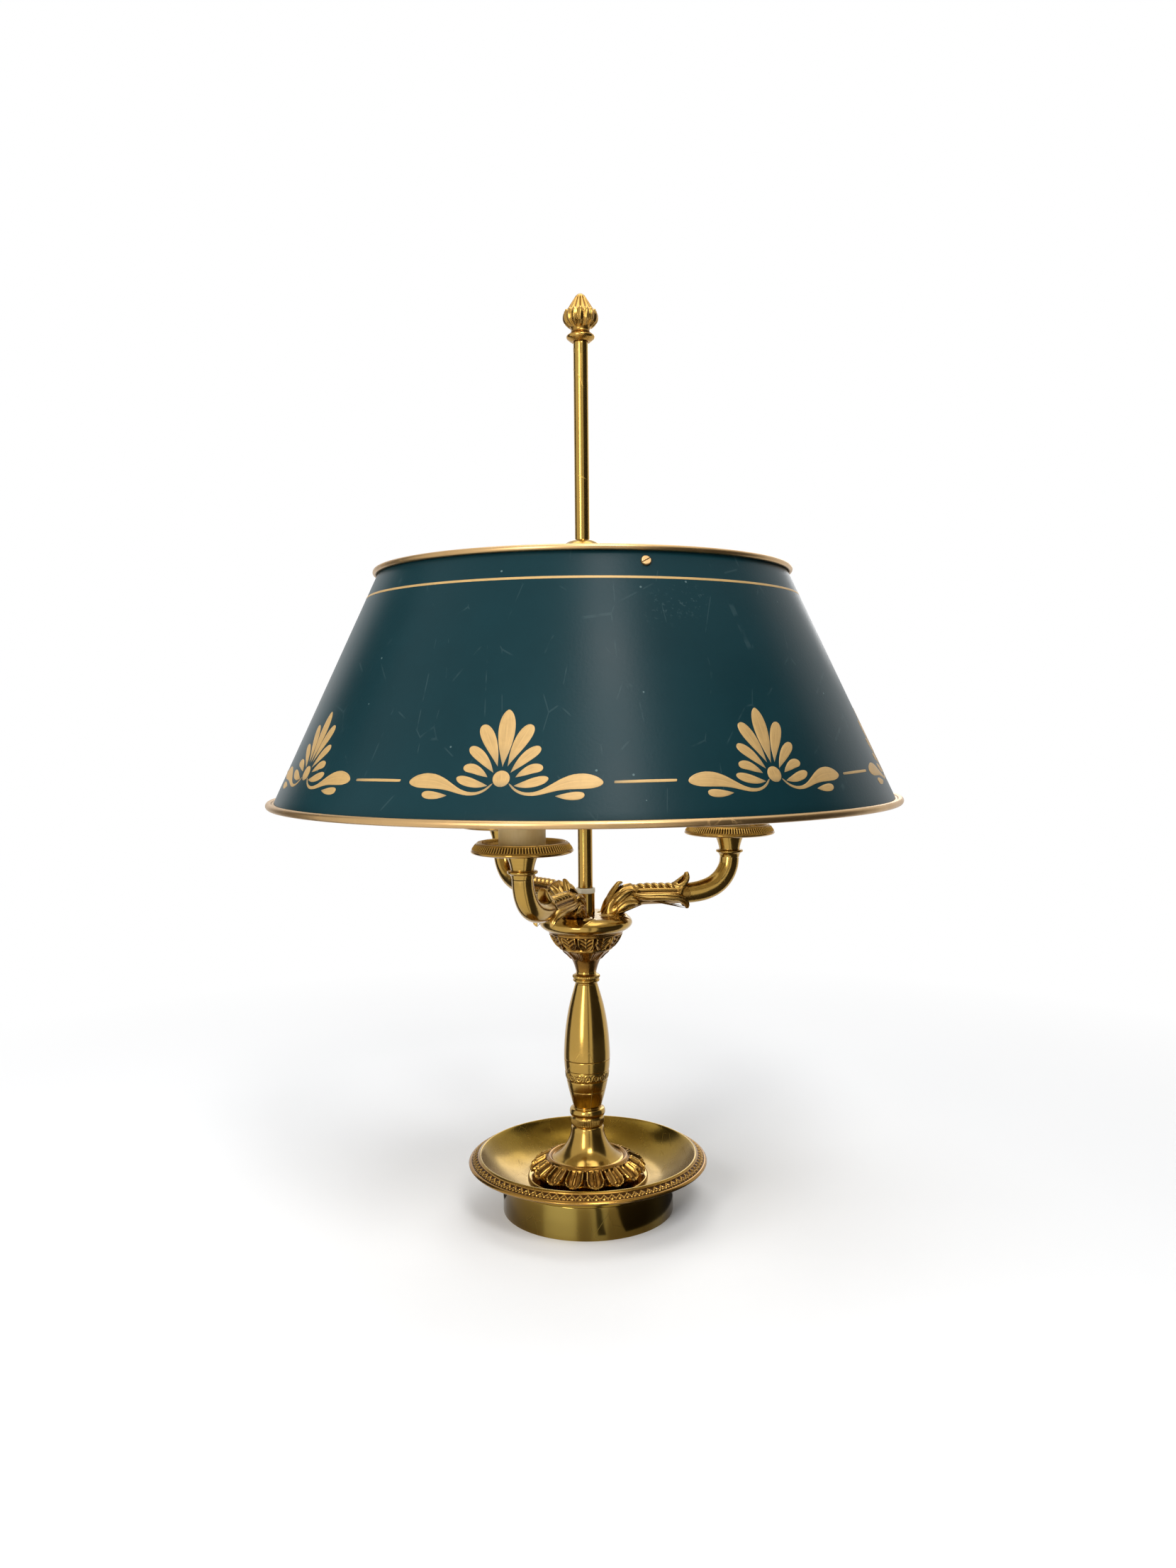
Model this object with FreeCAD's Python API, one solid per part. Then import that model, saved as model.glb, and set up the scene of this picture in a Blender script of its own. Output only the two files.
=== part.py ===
import FreeCAD, Part
import math
import os

# Bouillotte lamp: a brass column with three candle arms in a pan-shaped foot,
# and a painted metal shade that slides and turns on the centre rod.
# Millimetres, +Z up, origin on the table at the lamp's axis, front towards -Y.
# Heights that end in _H or _T belong to one piece; places (z_...) are summed up from them.

# Clearances
RUN = 0.05          # a shaft turning or sliding in its hole
PLAY = 0.1          # flat faces of pieces that turn against each other
LOOSE = 0.3         # pieces that only drop into place

# Foot
DRUM_R = 52.9
DRUM_H = 19.9
DRUM_WALL = 1.5
DRUM_LIP = 1.8      # how far the drum's top lip reaches in from its wall
DRUM_LIP_T = 1.5
FELT_T = 2.5
WEIGHT_GAP = 3.3    # air between the weight and the pan's floor
WEIGHT_RIM_W = 2.6
BUSH_R = 5.2        # cable bush in the drum's back wall
BUSH_HEAD_R = 6.8
BUSH_HEAD_T = 2.0
BUSH_BORE_R = 3.2
BUSH_INNER = 3.0    # length of the bush inside the wall
LEAD_WAY_R = 4.0    # way for the lead through the weight

# Drip pan
PAN_T = 1.2
PAN_FLOOR_R = 38.0
PAN_SWEEP = 32.8    # radius of the wall's upward curve
PAN_LIP_R = 66.1
PAN_EDGE_R = 74.1
PAN_BORDER_DROP = 3.9
PAN_BORDER_T = 2.2

# Threaded pipe that clamps the column, with its nut and washer
PIPE_R = 5.0
PIPE_BORE_R = 3.6
PIPE_NUT_FLATS = 17.0
PIPE_NUT_T = 5.0
PIPE_WASHER_R = 10.0
PIPE_WASHER_T = 1.5
PIPE_TAIL = 1.0     # pipe that shows below the nut
WINDOW_R = 2.6      # side hole that lets the wires into the pipe

# Column
FOOT_DISC_R = 37.4
FOOT_DISC_T = 2.0
LEAF_R = 35.2
LEAF_H = 12.0
LEAF_SEAT_H = 9.4   # height of the collar's inner seat
LEAF_TOP_R = 24.2
LEAF_COUNT = 16
FLARE_R = 22.3
FLARE_H = 21.5
FLARE_NECK_R = 9.95
RING_H = 11.9
RING_R = 11.1
VASE_H = 76.9
VASE_R = 14.3
VASE_WALL = 1.6
NECK_H = 7.8
NECK_R = 8.5
CUP_H = 26.0
CUP_R = 22.9
CUP_WALL = 1.5
CUP_LEAN = 7.1      # from the rim in to the lower edge of the cup's leaf band
COVER_R = 28.8
COVER_H = 9.2
COVER_SPIGOT_H = 2.4
COVER_SPIGOT_FIT = 0.1

# Centre rod and what sits round its foot
ROD_R = 4.5
ROD_L = 346.7
ROD_SPIGOT_L = 11.0
STUD_R = 3.0
STUD_L = 10.0
SLEEVE_R = 5.7
SLEEVE_H = 13.4
SPACER_R = 5.9
SPACER_H = 3.1

# Finial
FINIAL_R = 10.6
FINIAL_H = 28.9

# Arms
ARM_AZIMUTHS = (8.0, 128.0, 248.0)
ARM_REACH = 91.2
ARM_R = 6.1
ARM_BORE_R = 2.4
NUT_ROOM = 2.6      # from an arm's nut to the cup's rim wall
ARM_GAP = 1.0       # from an arm's root to the rod's sleeve
ARM_LEAN = 8.3      # how far the arm leans out while it rises
ARM_RISE = 11.6     # height of its level stretch over the cover
ARM_SUNK = 4.0      # start of the centre line below the cover's top, cut off there
ARM_SAG = 2.4       # how much lower its elbow is
ARM_ELBOW_RISE = 24.1
ARM_ROOT_BEND = 14.0
ARM_ELBOW_BEND = 19.2
STUB_R = 3.0        # threaded root under the arm
STUB_L = 15.0
ARM_NUT_FLATS = 8.0
ARM_NUT_T = 3.0
WIRE_R = 1.6
WIRE_TAIL = 2.0

# Candles
CANDLE_CUP_R = 8.6
CANDLE_CUP_H = 14.3
NIPPLE_R = 3.0
NIPPLE_BORE_R = 2.1
NIPPLE_DEPTH = 6.0
NIPPLE_TOP = 4.0    # how far the nipple stands up in the lampholder
DRIP_R = 28.3
DRIP_H = 6.5
DRIP_T = 1.6
CANDLE_R = 13.0
CANDLE_WALL = 0.9
CANDLE_H = 65.0
HOLDER_R = 11.7
HOLDER_FOOT_R = 6.5
HOLDER_FOOT_H = 7.0
HOLDER_DROP = 1.0   # holder's top below the sleeve's top
SOCKET_R = 6.9
SOCKET_T = 0.5
SOCKET_DEPTH = 25.0
SHELL_L = 21.0
CONTACT_R = 2.4
CONTACT_H = 2.0

# Shade
SHADE_BOTTOM_R = 185.3
SHADE_TOP_R = 123.0
SHADE_H = 133.5
SHADE_T = 0.7
SHADE_SETTING = 73.2    # cone's lower edge above the rod's foot
BOTTOM_BEAD_OUT = 2.7   # from the cone's edge out to the bead's centre
BOTTOM_BEAD_WIRE = 2.0
BOTTOM_BEAD_DROP = 1.2
TOP_BEAD_OUT = 1.3
TOP_BEAD_WIRE = 1.65
TOP_BEAD_RISE = 1.2

# Spider and its screws
SPIDER_AZIMUTHS = (45.0, 165.0, 285.0)
SCREW_DROP = 6.0        # screws below the cone's top edge
SPIDER_RISE = 14.3      # spider's ring above the screws
SPIDER_T = 1.6
SPIDER_W = 8.0
SPIDER_RING_R = 16.0
SPIDER_RING_T = 2.4
TAB_UP = 5.0
TAB_DOWN = 7.0
TAB_GAP = 0.2           # between a tab and the cone's inside
SCREW_R = 1.5
SCREW_HOLE_R = 1.65
SCREW_HEAD_R = 2.75
SCREW_HEAD_H = 1.5
SCREW_SLOT = 0.7
SCREW_SLOT_ANGLE = 30.0
SCREW_NUT_FLATS = 5.5
SCREW_NUT_T = 2.4
SCREW_TAIL = 0.8

# Collar that slides on the rod, and its clamp key
COLLAR_R = 7.5
COLLAR_L = 22.0         # below its flange
COLLAR_FLANGE_R = 14.0
COLLAR_FLANGE_T = 3.0
COLLAR_NECK_R = 7.0
COLLAR_NECK_H = 9.0
DOME_R = 15.0
DOME_H = 11.3
DOME_EDGE_H = 4.5
KEY_AZIMUTH = 105.0
KEY_RISE = 8.0          # key above the collar's lower end
KEY_R = 2.0
KEY_BOSS_R = 5.0
KEY_BOSS_REACH = 12.0
KEY_WING_R = 6.5
KEY_WING_T = 2.6
KEY_COLLAR_T = 2.0


def at(point):
    """A point (r, z) of a section, in the plane of +X and +Z."""
    return FreeCAD.Vector(point[0], 0, point[1])


def arc(through, end):
    """A round stretch of an outline."""
    return ("arc", through, end)


def curve(*points):
    """A smooth stretch of an outline through these points."""
    return ("curve", points)


def shifted(outline, rise):
    """The outline raised by rise."""
    def up(point):
        return (point[0], point[1] + rise)
    moved = []
    for item in outline:
        if item[0] == "arc":
            moved.append(arc(up(item[1]), up(item[2])))
        elif item[0] == "curve":
            moved.append(curve(*[up(point) for point in item[1]]))
        else:
            moved.append(up(item))
    return moved


def section(outline):
    """The face inside a closed outline, which starts with a plain point."""
    first = outline[0]
    last = first
    edges = []
    for item in outline[1:] + [first]:
        if item[0] == "arc":
            edges.append(Part.Arc(at(last), at(item[1]), at(item[2])).toShape())
            last = item[2]
        elif item[0] == "curve":
            line = Part.BSplineCurve()
            line.interpolate([at(point) for point in (last,) + item[1]])
            edges.append(line.toShape())
            last = item[1][-1]
        elif math.dist(item, last) > 1e-6:
            edges.append(Part.makeLine(at(last), at(item)))
            last = item
    return Part.Face(Part.Wire(edges))


def turned(outline, rise=0.0):
    """A solid of revolution about the lamp's axis."""
    face = section(shifted(outline, rise))
    return face.revolve(FreeCAD.Vector(0, 0, 0), FreeCAD.Vector(0, 0, 1), 360)


def tube(outer, inner, low, high):
    """A plain round tube, or a disc where inner is 0."""
    body = Part.makeCylinder(outer, high - low, FreeCAD.Vector(0, 0, low))
    if inner > 0:
        body = body.cut(Part.makeCylinder(inner, high - low, FreeCAD.Vector(0, 0, low)))
    return body


def hexagon(flats, low, high, bore):
    """A hexagon nut about the lamp's axis."""
    corner = flats / math.sqrt(3)
    corners = [FreeCAD.Vector(corner * math.cos(math.radians(a)), corner * math.sin(math.radians(a)), low)
               for a in range(0, 361, 60)]
    nut = Part.Face(Part.makePolygon(corners)).extrude(FreeCAD.Vector(0, 0, high - low))
    return nut.cut(Part.makeCylinder(bore, high - low, FreeCAD.Vector(0, 0, low)))


def spun(shape, azimuth):
    """A copy turned about the lamp's axis."""
    copy = shape.copy()
    copy.rotate(FreeCAD.Vector(0, 0, 0), FreeCAD.Vector(0, 0, 1), azimuth)
    return copy


def moved(shape, x, z=0.0):
    """A copy moved out by x and up by z."""
    copy = shape.copy()
    copy.translate(FreeCAD.Vector(x, 0, z))
    return copy


def path_wire(corners, bends):
    """Straight runs between the corners (r, z), with a tangent arc of the given radius at each inner one."""
    points = [at(corner) for corner in corners]
    edges = []
    last = points[0]
    for before, corner, after, bend in zip(points, points[1:], points[2:], bends):
        inward = (corner - before).normalize()
        outward = (after - corner).normalize()
        half = inward.getAngle(outward) / 2
        reach = bend * math.tan(half)
        start = corner - inward * reach
        end = corner + outward * reach
        side = (outward - inward).normalize()
        middle = corner + side * (bend / math.cos(half) - bend)
        edges.append(Part.makeLine(last, start))
        edges.append(Part.Arc(start, middle, end).toShape())
        last = end
    edges.append(Part.makeLine(last, points[-1]))
    return Part.Wire(edges)


def bar(corners, bends, radius):
    """A round bar along path_wire."""
    wire = path_wire(corners, bends)
    start = at(corners[0])
    aim = at(corners[1]) - start
    ring = Part.Wire(Part.makeCircle(radius, start, aim))
    return wire.makePipeShell([ring], True, False)


# Foot

def pan_rise(radius, thickness):
    """Height of the pan's curved wall over its floor, measured on the face this much below it."""
    out = max(radius - PAN_FLOOR_R, 0.0)
    reach = PAN_SWEEP + thickness
    return PAN_SWEEP - math.sqrt(reach ** 2 - out ** 2)


drum_bore_r = DRUM_R - DRUM_WALL
drum_lip_r = drum_bore_r - DRUM_LIP
pan_floor_z = DRUM_H - pan_rise(drum_lip_r, PAN_T)
pan_lip_z = pan_floor_z + pan_rise(PAN_LIP_R, 0.0)
weight_r = drum_bore_r - LOOSE
weight_z = FELT_T
weight_top = pan_floor_z - PAN_T - WEIGHT_GAP
washer_z = weight_top - 4.0
nut_z = washer_z - PIPE_WASHER_T
pipe_z = nut_z - PIPE_NUT_T - PIPE_TAIL
bush_z = (weight_z + weight_top) / 2
pipe_hole_r = PIPE_R + PLAY
well_r = PIPE_WASHER_R + 2.0


def base_felt():
    return tube(weight_r - LOOSE, 0, 0, FELT_T)


def base_drum():
    """Spun ring with its top lip turned in, and the hole for the cable bush at the back."""
    wall = turned([(DRUM_R, 0.6), arc((DRUM_R - 0.2, 0.2), (DRUM_R - 0.6, 0.0)), (drum_bore_r, 0.0),
                   (drum_bore_r, DRUM_H - DRUM_LIP_T), (drum_lip_r, DRUM_H - DRUM_LIP_T),
                   (drum_lip_r, DRUM_H), (DRUM_R, DRUM_H)])
    return wall.cut(radial_bar(BUSH_R + PLAY, drum_bore_r - 2, DRUM_R + 2, bush_z, 90))


def radial_bar(radius, near, far, height, azimuth):
    """A round bar that points straight out from the axis."""
    rod = Part.makeCylinder(radius, far - near, FreeCAD.Vector(near, 0, height), FreeCAD.Vector(1, 0, 0))
    return spun(rod, azimuth)


def base_weight():
    """Cast weight: its rim bears on the drum's lip, and a well takes the nut."""
    rim_top = DRUM_H - DRUM_LIP_T
    rim_in = weight_r - WEIGHT_RIM_W
    body = turned([(pipe_hole_r, washer_z), (well_r, washer_z), (well_r, weight_z), (weight_r, weight_z),
                   (weight_r, rim_top), (rim_in, rim_top), (rim_in, weight_top), (pipe_hole_r, weight_top)])
    notch = radial_bar(BUSH_R + LOOSE, weight_r - BUSH_INNER - 1, weight_r + 1, bush_z, 90)
    way = radial_bar(LEAD_WAY_R, well_r - 1, weight_r, bush_z, 90)
    return body.cut(notch).cut(way)


def base_washer():
    return tube(PIPE_WASHER_R, pipe_hole_r, nut_z, washer_z)


def base_nut():
    return hexagon(PIPE_NUT_FLATS, nut_z - PIPE_NUT_T, nut_z, PIPE_R)


def cable_bush():
    """Flanged bush that the mains lead goes through."""
    near = drum_bore_r - BUSH_INNER
    body = radial_bar(BUSH_R, near, DRUM_R, bush_z, 90)
    head = radial_bar(BUSH_HEAD_R, DRUM_R, DRUM_R + BUSH_HEAD_T, bush_z, 90)
    saddle = tube(DRUM_R, 0, 0, DRUM_H)
    bore = radial_bar(BUSH_BORE_R, near - 1, DRUM_R + BUSH_HEAD_T + 1, bush_z, 90)
    return body.fuse(head.cut(saddle)).cut(bore).removeSplitter()


def drip_pan():
    """Dish with a sloping border, and a seat ring under it that stands on the drum."""
    top = PAN_SWEEP + pan_floor_z
    lip_out = PAN_LIP_R - PAN_FLOOR_R
    mid = lip_out * 0.6
    lean = math.asin(lip_out / PAN_SWEEP)
    under = PAN_SWEEP + PAN_T
    under_r = PAN_FLOOR_R + under * math.sin(lean)
    under_z = top - under * math.cos(lean)
    half_r = PAN_FLOOR_R + under * math.sin(lean / 2)
    half_z = top - under * math.cos(lean / 2)
    edge_z = pan_lip_z - PAN_BORDER_DROP
    section_line = [
        (pipe_hole_r, pan_floor_z), (PAN_FLOOR_R, pan_floor_z),
        arc((PAN_FLOOR_R + mid, pan_floor_z + pan_rise(PAN_FLOOR_R + mid, 0.0)), (PAN_LIP_R, pan_lip_z)),
        arc((PAN_LIP_R + 0.9, pan_lip_z + 0.4), (PAN_LIP_R + 1.7, pan_lip_z - 0.1)),
        (PAN_EDGE_R - 0.8, edge_z + 0.6),
        arc((PAN_EDGE_R, edge_z - 0.3), (PAN_EDGE_R - 0.9, edge_z - 1.2)),
        (under_r, max(edge_z - PAN_BORDER_T, under_z)), (under_r, under_z),
        arc((half_r, half_z), (PAN_FLOOR_R, pan_floor_z - PAN_T)), (pipe_hole_r, pan_floor_z - PAN_T)]
    dish = turned(section_line)
    seat = tube(DRUM_R, drum_lip_r, DRUM_H, pan_lip_z)
    hollow = turned([(0, pan_floor_z), (PAN_FLOOR_R, pan_floor_z),
                     arc((PAN_FLOOR_R + mid, pan_floor_z + pan_rise(PAN_FLOOR_R + mid, 0.0)),
                         (PAN_LIP_R, pan_lip_z)), (PAN_LIP_R, pan_lip_z + 5), (0, pan_lip_z + 5)])
    return dish.fuse(seat.cut(hollow)).removeSplitter()


# Column, from the pan's floor upwards
leaf_z = pan_floor_z + FOOT_DISC_T
flare_z = leaf_z + LEAF_SEAT_H
ring_z = flare_z + FLARE_H
vase_z = ring_z + RING_H
neck_z = vase_z + VASE_H
cup_z = neck_z + NECK_H
cover_z = cup_z + CUP_H
rod_z = cover_z + COVER_H


def foot_disc():
    return turned([(pipe_hole_r, 0), (FOOT_DISC_R, 0), (FOOT_DISC_R, FOOT_DISC_T - 0.9),
                   arc((FOOT_DISC_R - 0.3, FOOT_DISC_T - 0.3), (FOOT_DISC_R - 0.9, FOOT_DISC_T)),
                   (pipe_hole_r, FOOT_DISC_T)], pan_floor_z)


def leaf_collar():
    """Ring of turned-down leaves with a raised lip, scalloped between the leaf tips."""
    well = FLARE_R + PLAY
    ring = turned([(pipe_hole_r, 0), (LEAF_R - 7.0, 0), (LEAF_R - 5.6, 1.6), (LEAF_R - 1.6, 2.6),
                   arc((LEAF_R, 4.0), (LEAF_R - 1.4, 5.4)), (LEAF_R - 7.0, 8.6), (LEAF_TOP_R + 0.6, 11.0),
                   arc((LEAF_TOP_R, LEAF_H), (LEAF_TOP_R - 0.9, LEAF_H - 0.2)), (well, LEAF_SEAT_H + 1.4),
                   (well, LEAF_SEAT_H), (pipe_hole_r, LEAF_SEAT_H)], leaf_z)
    for number in range(LEAF_COUNT):
        gap = Part.makeCylinder(2.2, LEAF_H + 2, FreeCAD.Vector(LEAF_R + 0.4, 0, leaf_z - 1))
        ring = ring.cut(spun(gap, (number + 0.5) * 360 / LEAF_COUNT))
    return ring


def flared_foot():
    """Trumpet foot of the column."""
    return turned([(pipe_hole_r, 0), (FLARE_R, 0), (FLARE_R, 1.7), (FLARE_R - 1.4, 1.9),
                   curve((14.8, 7.6), (11.3, 14.0), (FLARE_NECK_R, FLARE_H - 0.9)),
                   (FLARE_NECK_R - 0.7, FLARE_H), (pipe_hole_r, FLARE_H)], flare_z)


def foot_ring():
    """Two turned bands with a groove between them."""
    band = RING_R - 0.9
    return turned([(pipe_hole_r, 0), (band - 0.9, 0), (band, 0.9), (band, 5.6), (band - 0.7, 6.3),
                   (RING_R - 0.5, 6.8), arc((RING_R, 8.9), (RING_R - 0.5, 10.9)), (RING_R - 2.2, 11.4),
                   (RING_R - 2.2, RING_H), (pipe_hole_r, RING_H)], ring_z)


def vase_line(inset):
    """Radius and height of the vase's points, from its foot to its neck."""
    shares = ((0.60, 0.0), (0.78, 0.12), (0.94, 0.27), (1.0, 0.40), (0.92, 0.64), (0.765, 0.81), (0.486, 1.0))
    return [(VASE_R * share - inset, VASE_H * height) for share, height in shares]


def vase_column():
    """Hollow turned vase."""
    outer = vase_line(0.0)
    body = turned([(pipe_hole_r, 0), outer[0], curve(*outer[1:]), (pipe_hole_r, VASE_H)], vase_z)
    inner = vase_line(VASE_WALL)[1:-1]
    inner_r = pipe_hole_r
    hollow = turned([(inner_r, inner[0][1]), inner[0], curve(*inner[1:]), (inner_r, inner[-1][1])], vase_z)
    return body.cut(hollow)


def neck_ring():
    """Double bead between vase and cup."""
    low = NECK_R - 1.6
    return turned([(pipe_hole_r, 0), (low, 0), (low, 1.0), (NECK_R - 0.7, 1.4),
                   arc((NECK_R - 0.2, 2.4), (NECK_R - 0.8, 3.3)),
                   arc((NECK_R, 4.5), (NECK_R - 0.9, 5.6)), (NECK_R - 2.2, 6.4), (NECK_R - 2.2, NECK_H),
                   (pipe_hole_r, NECK_H)], neck_z)


def arm_cup():
    """Turned cup; its hollow takes the arms' nuts and the wires."""
    rim_in = CUP_R - CUP_WALL
    ledge = CUP_H - COVER_SPIGOT_H - PLAY
    belly = CUP_R - CUP_LEAN
    floor = CUP_H - 15.0
    return turned([(pipe_hole_r, 0), (pipe_hole_r + 1.2, 0),
                   curve((pipe_hole_r + 2.3, 4.0), (pipe_hole_r + 3.8, 7.4), (belly - 4.2, floor - 0.2),
                         (belly, CUP_H - 11.8)),
                   curve((CUP_R - 3.9, CUP_H - 8.2), (CUP_R - 1.6, CUP_H - 4.7), (CUP_R, CUP_H)),
                   (rim_in, CUP_H), (rim_in, ledge), (rim_in - 0.6, ledge),
                   curve((CUP_R - 3.7, CUP_H - 5.6), (belly - 1.2, CUP_H - 10.2), (pipe_hole_r + 3.9, floor)),
                   (pipe_hole_r, floor)], cup_z)


# An arm's threaded stub is placed by the cup that its nut lies in, and its root by the rod's sleeve
stub_r = CUP_R - CUP_WALL - NUT_ROOM - ARM_NUT_FLATS / math.sqrt(3)
arm_root_r = SLEEVE_R + ARM_GAP + ARM_R * math.hypot(ARM_LEAN, ARM_RISE) / ARM_RISE


def cup_cover():
    """Rounded disc over the cup, which carries the arms."""
    spigot = CUP_R - CUP_WALL - COVER_SPIGOT_FIT
    body = turned([(PIPE_R + RUN, -COVER_SPIGOT_H), (spigot, -COVER_SPIGOT_H), (spigot, 0), (COVER_R - 4.0, 0),
                   (COVER_R - 1.8, 1.6), arc((COVER_R, 4.6), (COVER_R - 1.9, 7.6)),
                   (COVER_R - 5.0, COVER_H), (PIPE_R + RUN, COVER_H)], cover_z)
    for azimuth in ARM_AZIMUTHS:
        hole = Part.makeCylinder(STUB_R + PLAY, 30, FreeCAD.Vector(stub_r, 0, cover_z - 10))
        body = body.cut(spun(hole, azimuth))
    return body


def tie_pipe():
    """Threaded pipe through the whole column, with a window for the wires inside the cup."""
    body = tube(PIPE_R, PIPE_BORE_R, pipe_z, rod_z)
    window = radial_bar(WINDOW_R, 0, PIPE_R + 1, cup_z + 15.0, 68)
    return body.cut(window)


def rod_sleeve():
    return turned([(ROD_R + RUN, 0), (SLEEVE_R, 0), (SLEEVE_R, SLEEVE_H), (ROD_R + RUN, SLEEVE_H)], rod_z)


def rod_spacer():
    """Plastic ring on the sleeve."""
    return turned([(ROD_R + RUN, 0), (SPACER_R, 0), (SPACER_R, SPACER_H - 0.6),
                   arc((SPACER_R - 0.2, SPACER_H - 0.2), (SPACER_R - 0.6, SPACER_H)),
                   (ROD_R + RUN, SPACER_H)], rod_z + SLEEVE_H)


def centre_rod():
    """Polished rod with a spigot in the pipe below and a stud for the finial above."""
    spigot_r = PIPE_BORE_R - RUN
    top = rod_z + ROD_L
    shaft = tube(ROD_R, 0, rod_z, top)
    spigot = tube(spigot_r, 0, rod_z - ROD_SPIGOT_L, rod_z)
    stud = tube(STUD_R, 0, top, top + STUD_L)
    return shaft.fuse([spigot, stud]).removeSplitter()


def finial():
    """Turned acorn that screws onto the rod's stud."""
    hole = STUD_R + RUN
    depth = STUD_L + 0.5
    return turned([(hole, 0), (5.7, 0), (8.2, 2.0), arc((8.7, 2.9), (8.2, 3.8)), (6.4, 5.2), (5.8, 6.4),
                   (5.8, 7.3), curve((6.75, 8.6), (8.1, 10.0), (10.1, 12.3), (FINIAL_R, 14.4)),
                   arc((FINIAL_R - 0.3, 16.4), (8.9, 18.6)), (7.1, 21.1),
                   curve((6.2, 22.5), (4.7, 25.0), (2.7, 27.5), (0.0, FINIAL_H)), (0.0, depth + 1.7),
                   (hole, depth)], rod_z + ROD_L + PLAY)


# Arms

arm_end_z = rod_z + ARM_RISE - ARM_SAG + ARM_ELBOW_RISE
arm_start_r = arm_root_r - ARM_LEAN * ARM_SUNK / ARM_RISE
arm_corners = [(arm_start_r, rod_z - ARM_SUNK), (arm_root_r + ARM_LEAN, rod_z + ARM_RISE),
               (ARM_REACH, rod_z + ARM_RISE - ARM_SAG), (ARM_REACH, arm_end_z)]
arm_bends = [ARM_ROOT_BEND, ARM_ELBOW_BEND]


def arm():
    """Bent hollow arm with a threaded stub below its root."""
    outer = bar(arm_corners, arm_bends, ARM_R)
    below = Part.makeBox(80, 80, 40, FreeCAD.Vector(-40, -40, rod_z - 40))
    body = outer.cut(below)
    stub = Part.makeCylinder(STUB_R, STUB_L + 2, FreeCAD.Vector(stub_r, 0, rod_z - STUB_L))
    bore = bar(arm_corners, arm_bends, ARM_BORE_R)
    stub_bore = Part.makeCylinder(ARM_BORE_R, STUB_L + 2, FreeCAD.Vector(stub_r, 0, rod_z - STUB_L))
    seat = Part.makeCylinder(NIPPLE_R, NIPPLE_DEPTH, FreeCAD.Vector(ARM_REACH, 0, arm_end_z - NIPPLE_DEPTH))
    return body.fuse(stub).cut(bore).cut(stub_bore).cut(seat)


def arm_nuts():
    """Nuts in the cup that hold the three arms."""
    top = cover_z - COVER_SPIGOT_H
    nut = moved(hexagon(ARM_NUT_FLATS, top - ARM_NUT_T, top, STUB_R), stub_r)
    return Part.makeCompound([spun(nut, azimuth) for azimuth in ARM_AZIMUTHS])


def arm_wires():
    """One flex through each arm, from the lampholder down into the cup."""
    low = rod_z - STUB_L - WIRE_TAIL
    corners = [(stub_r, low), (stub_r, rod_z)] + arm_corners[1:3]
    corners.append((ARM_REACH, candle_z + HOLDER_FOOT_H + 2.0))
    bends = [WIRE_R, ARM_ROOT_BEND - 6.0, ARM_ELBOW_BEND]
    wire = bar(corners, bends, WIRE_R)
    return Part.makeCompound([spun(wire, azimuth) for azimuth in ARM_AZIMUTHS])


# Candles

drip_z = arm_end_z + CANDLE_CUP_H
candle_z = drip_z + DRIP_T
socket_z = candle_z + CANDLE_H - HOLDER_DROP - SOCKET_DEPTH


def out_on_arm(shape, azimuth):
    """A copy of a piece modelled on the lamp's axis, placed on the end of an arm."""
    return spun(moved(shape, ARM_REACH), azimuth)


def candle_cup():
    """Turned collar and funnel under the drip ring."""
    bore = NIPPLE_R + PLAY
    return turned([(bore, 0), (5.9, 0), curve((6.6, 2.4), (CANDLE_CUP_R - 0.2, 3.8)),
                   (CANDLE_CUP_R - 0.2, 4.6), (6.3, 5.0),
                   curve((7.1, 8.6), (CANDLE_CUP_R, 12.6)), (CANDLE_CUP_R, CANDLE_CUP_H),
                   (bore, CANDLE_CUP_H)], arm_end_z)


def arm_nipples():
    """Threaded tubes that hold cup, drip ring and lampholder to each arm."""
    nipple = tube(NIPPLE_R, NIPPLE_BORE_R, arm_end_z - NIPPLE_DEPTH, candle_z + NIPPLE_TOP)
    return Part.makeCompound([out_on_arm(nipple, azimuth) for azimuth in ARM_AZIMUTHS])


def drip_ring():
    """Dished ring with a sloping border under each candle."""
    bore = NIPPLE_R + PLAY
    return turned([(bore, 0), (DRIP_R - 2.8, 0), (DRIP_R - 0.9, 0.4),
                   arc((DRIP_R, 1.4), (DRIP_R - 0.9, 2.6)), (DRIP_R - 3.2, 5.9),
                   arc((DRIP_R - 3.9, DRIP_H), (DRIP_R - 4.9, 6.1)),
                   arc((DRIP_R - 6.3, 3.2), (DRIP_R - 9.3, DRIP_T)), (bore, DRIP_T)], drip_z)


def lamp_holder():
    """Insulating holder with its socket at the top."""
    top = candle_z + CANDLE_H - HOLDER_DROP
    bore = NIPPLE_R + PLAY
    body = turned([(bore, candle_z), (HOLDER_FOOT_R, candle_z), (HOLDER_FOOT_R, candle_z + HOLDER_FOOT_H),
                   (HOLDER_R, candle_z + HOLDER_FOOT_H + 5.0), (HOLDER_R, top),
                   (SOCKET_R + SOCKET_T, top), (SOCKET_R + SOCKET_T, socket_z),
                   (bore, socket_z)])
    return body


def socket_contacts():
    """Screw shell and centre contact of each socket."""
    top = candle_z + CANDLE_H - HOLDER_DROP - 1.0
    shell = tube(SOCKET_R + SOCKET_T, SOCKET_R, top - SHELL_L, top)
    stem = tube(NIPPLE_R, 0, socket_z - 3.0, socket_z)
    contact = stem.fuse(tube(CONTACT_R, 0, socket_z, socket_z + CONTACT_H)).removeSplitter()
    pieces = []
    for azimuth in ARM_AZIMUTHS:
        pieces.append(out_on_arm(shell, azimuth))
        pieces.append(out_on_arm(contact, azimuth))
    return Part.makeCompound(pieces)


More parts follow.
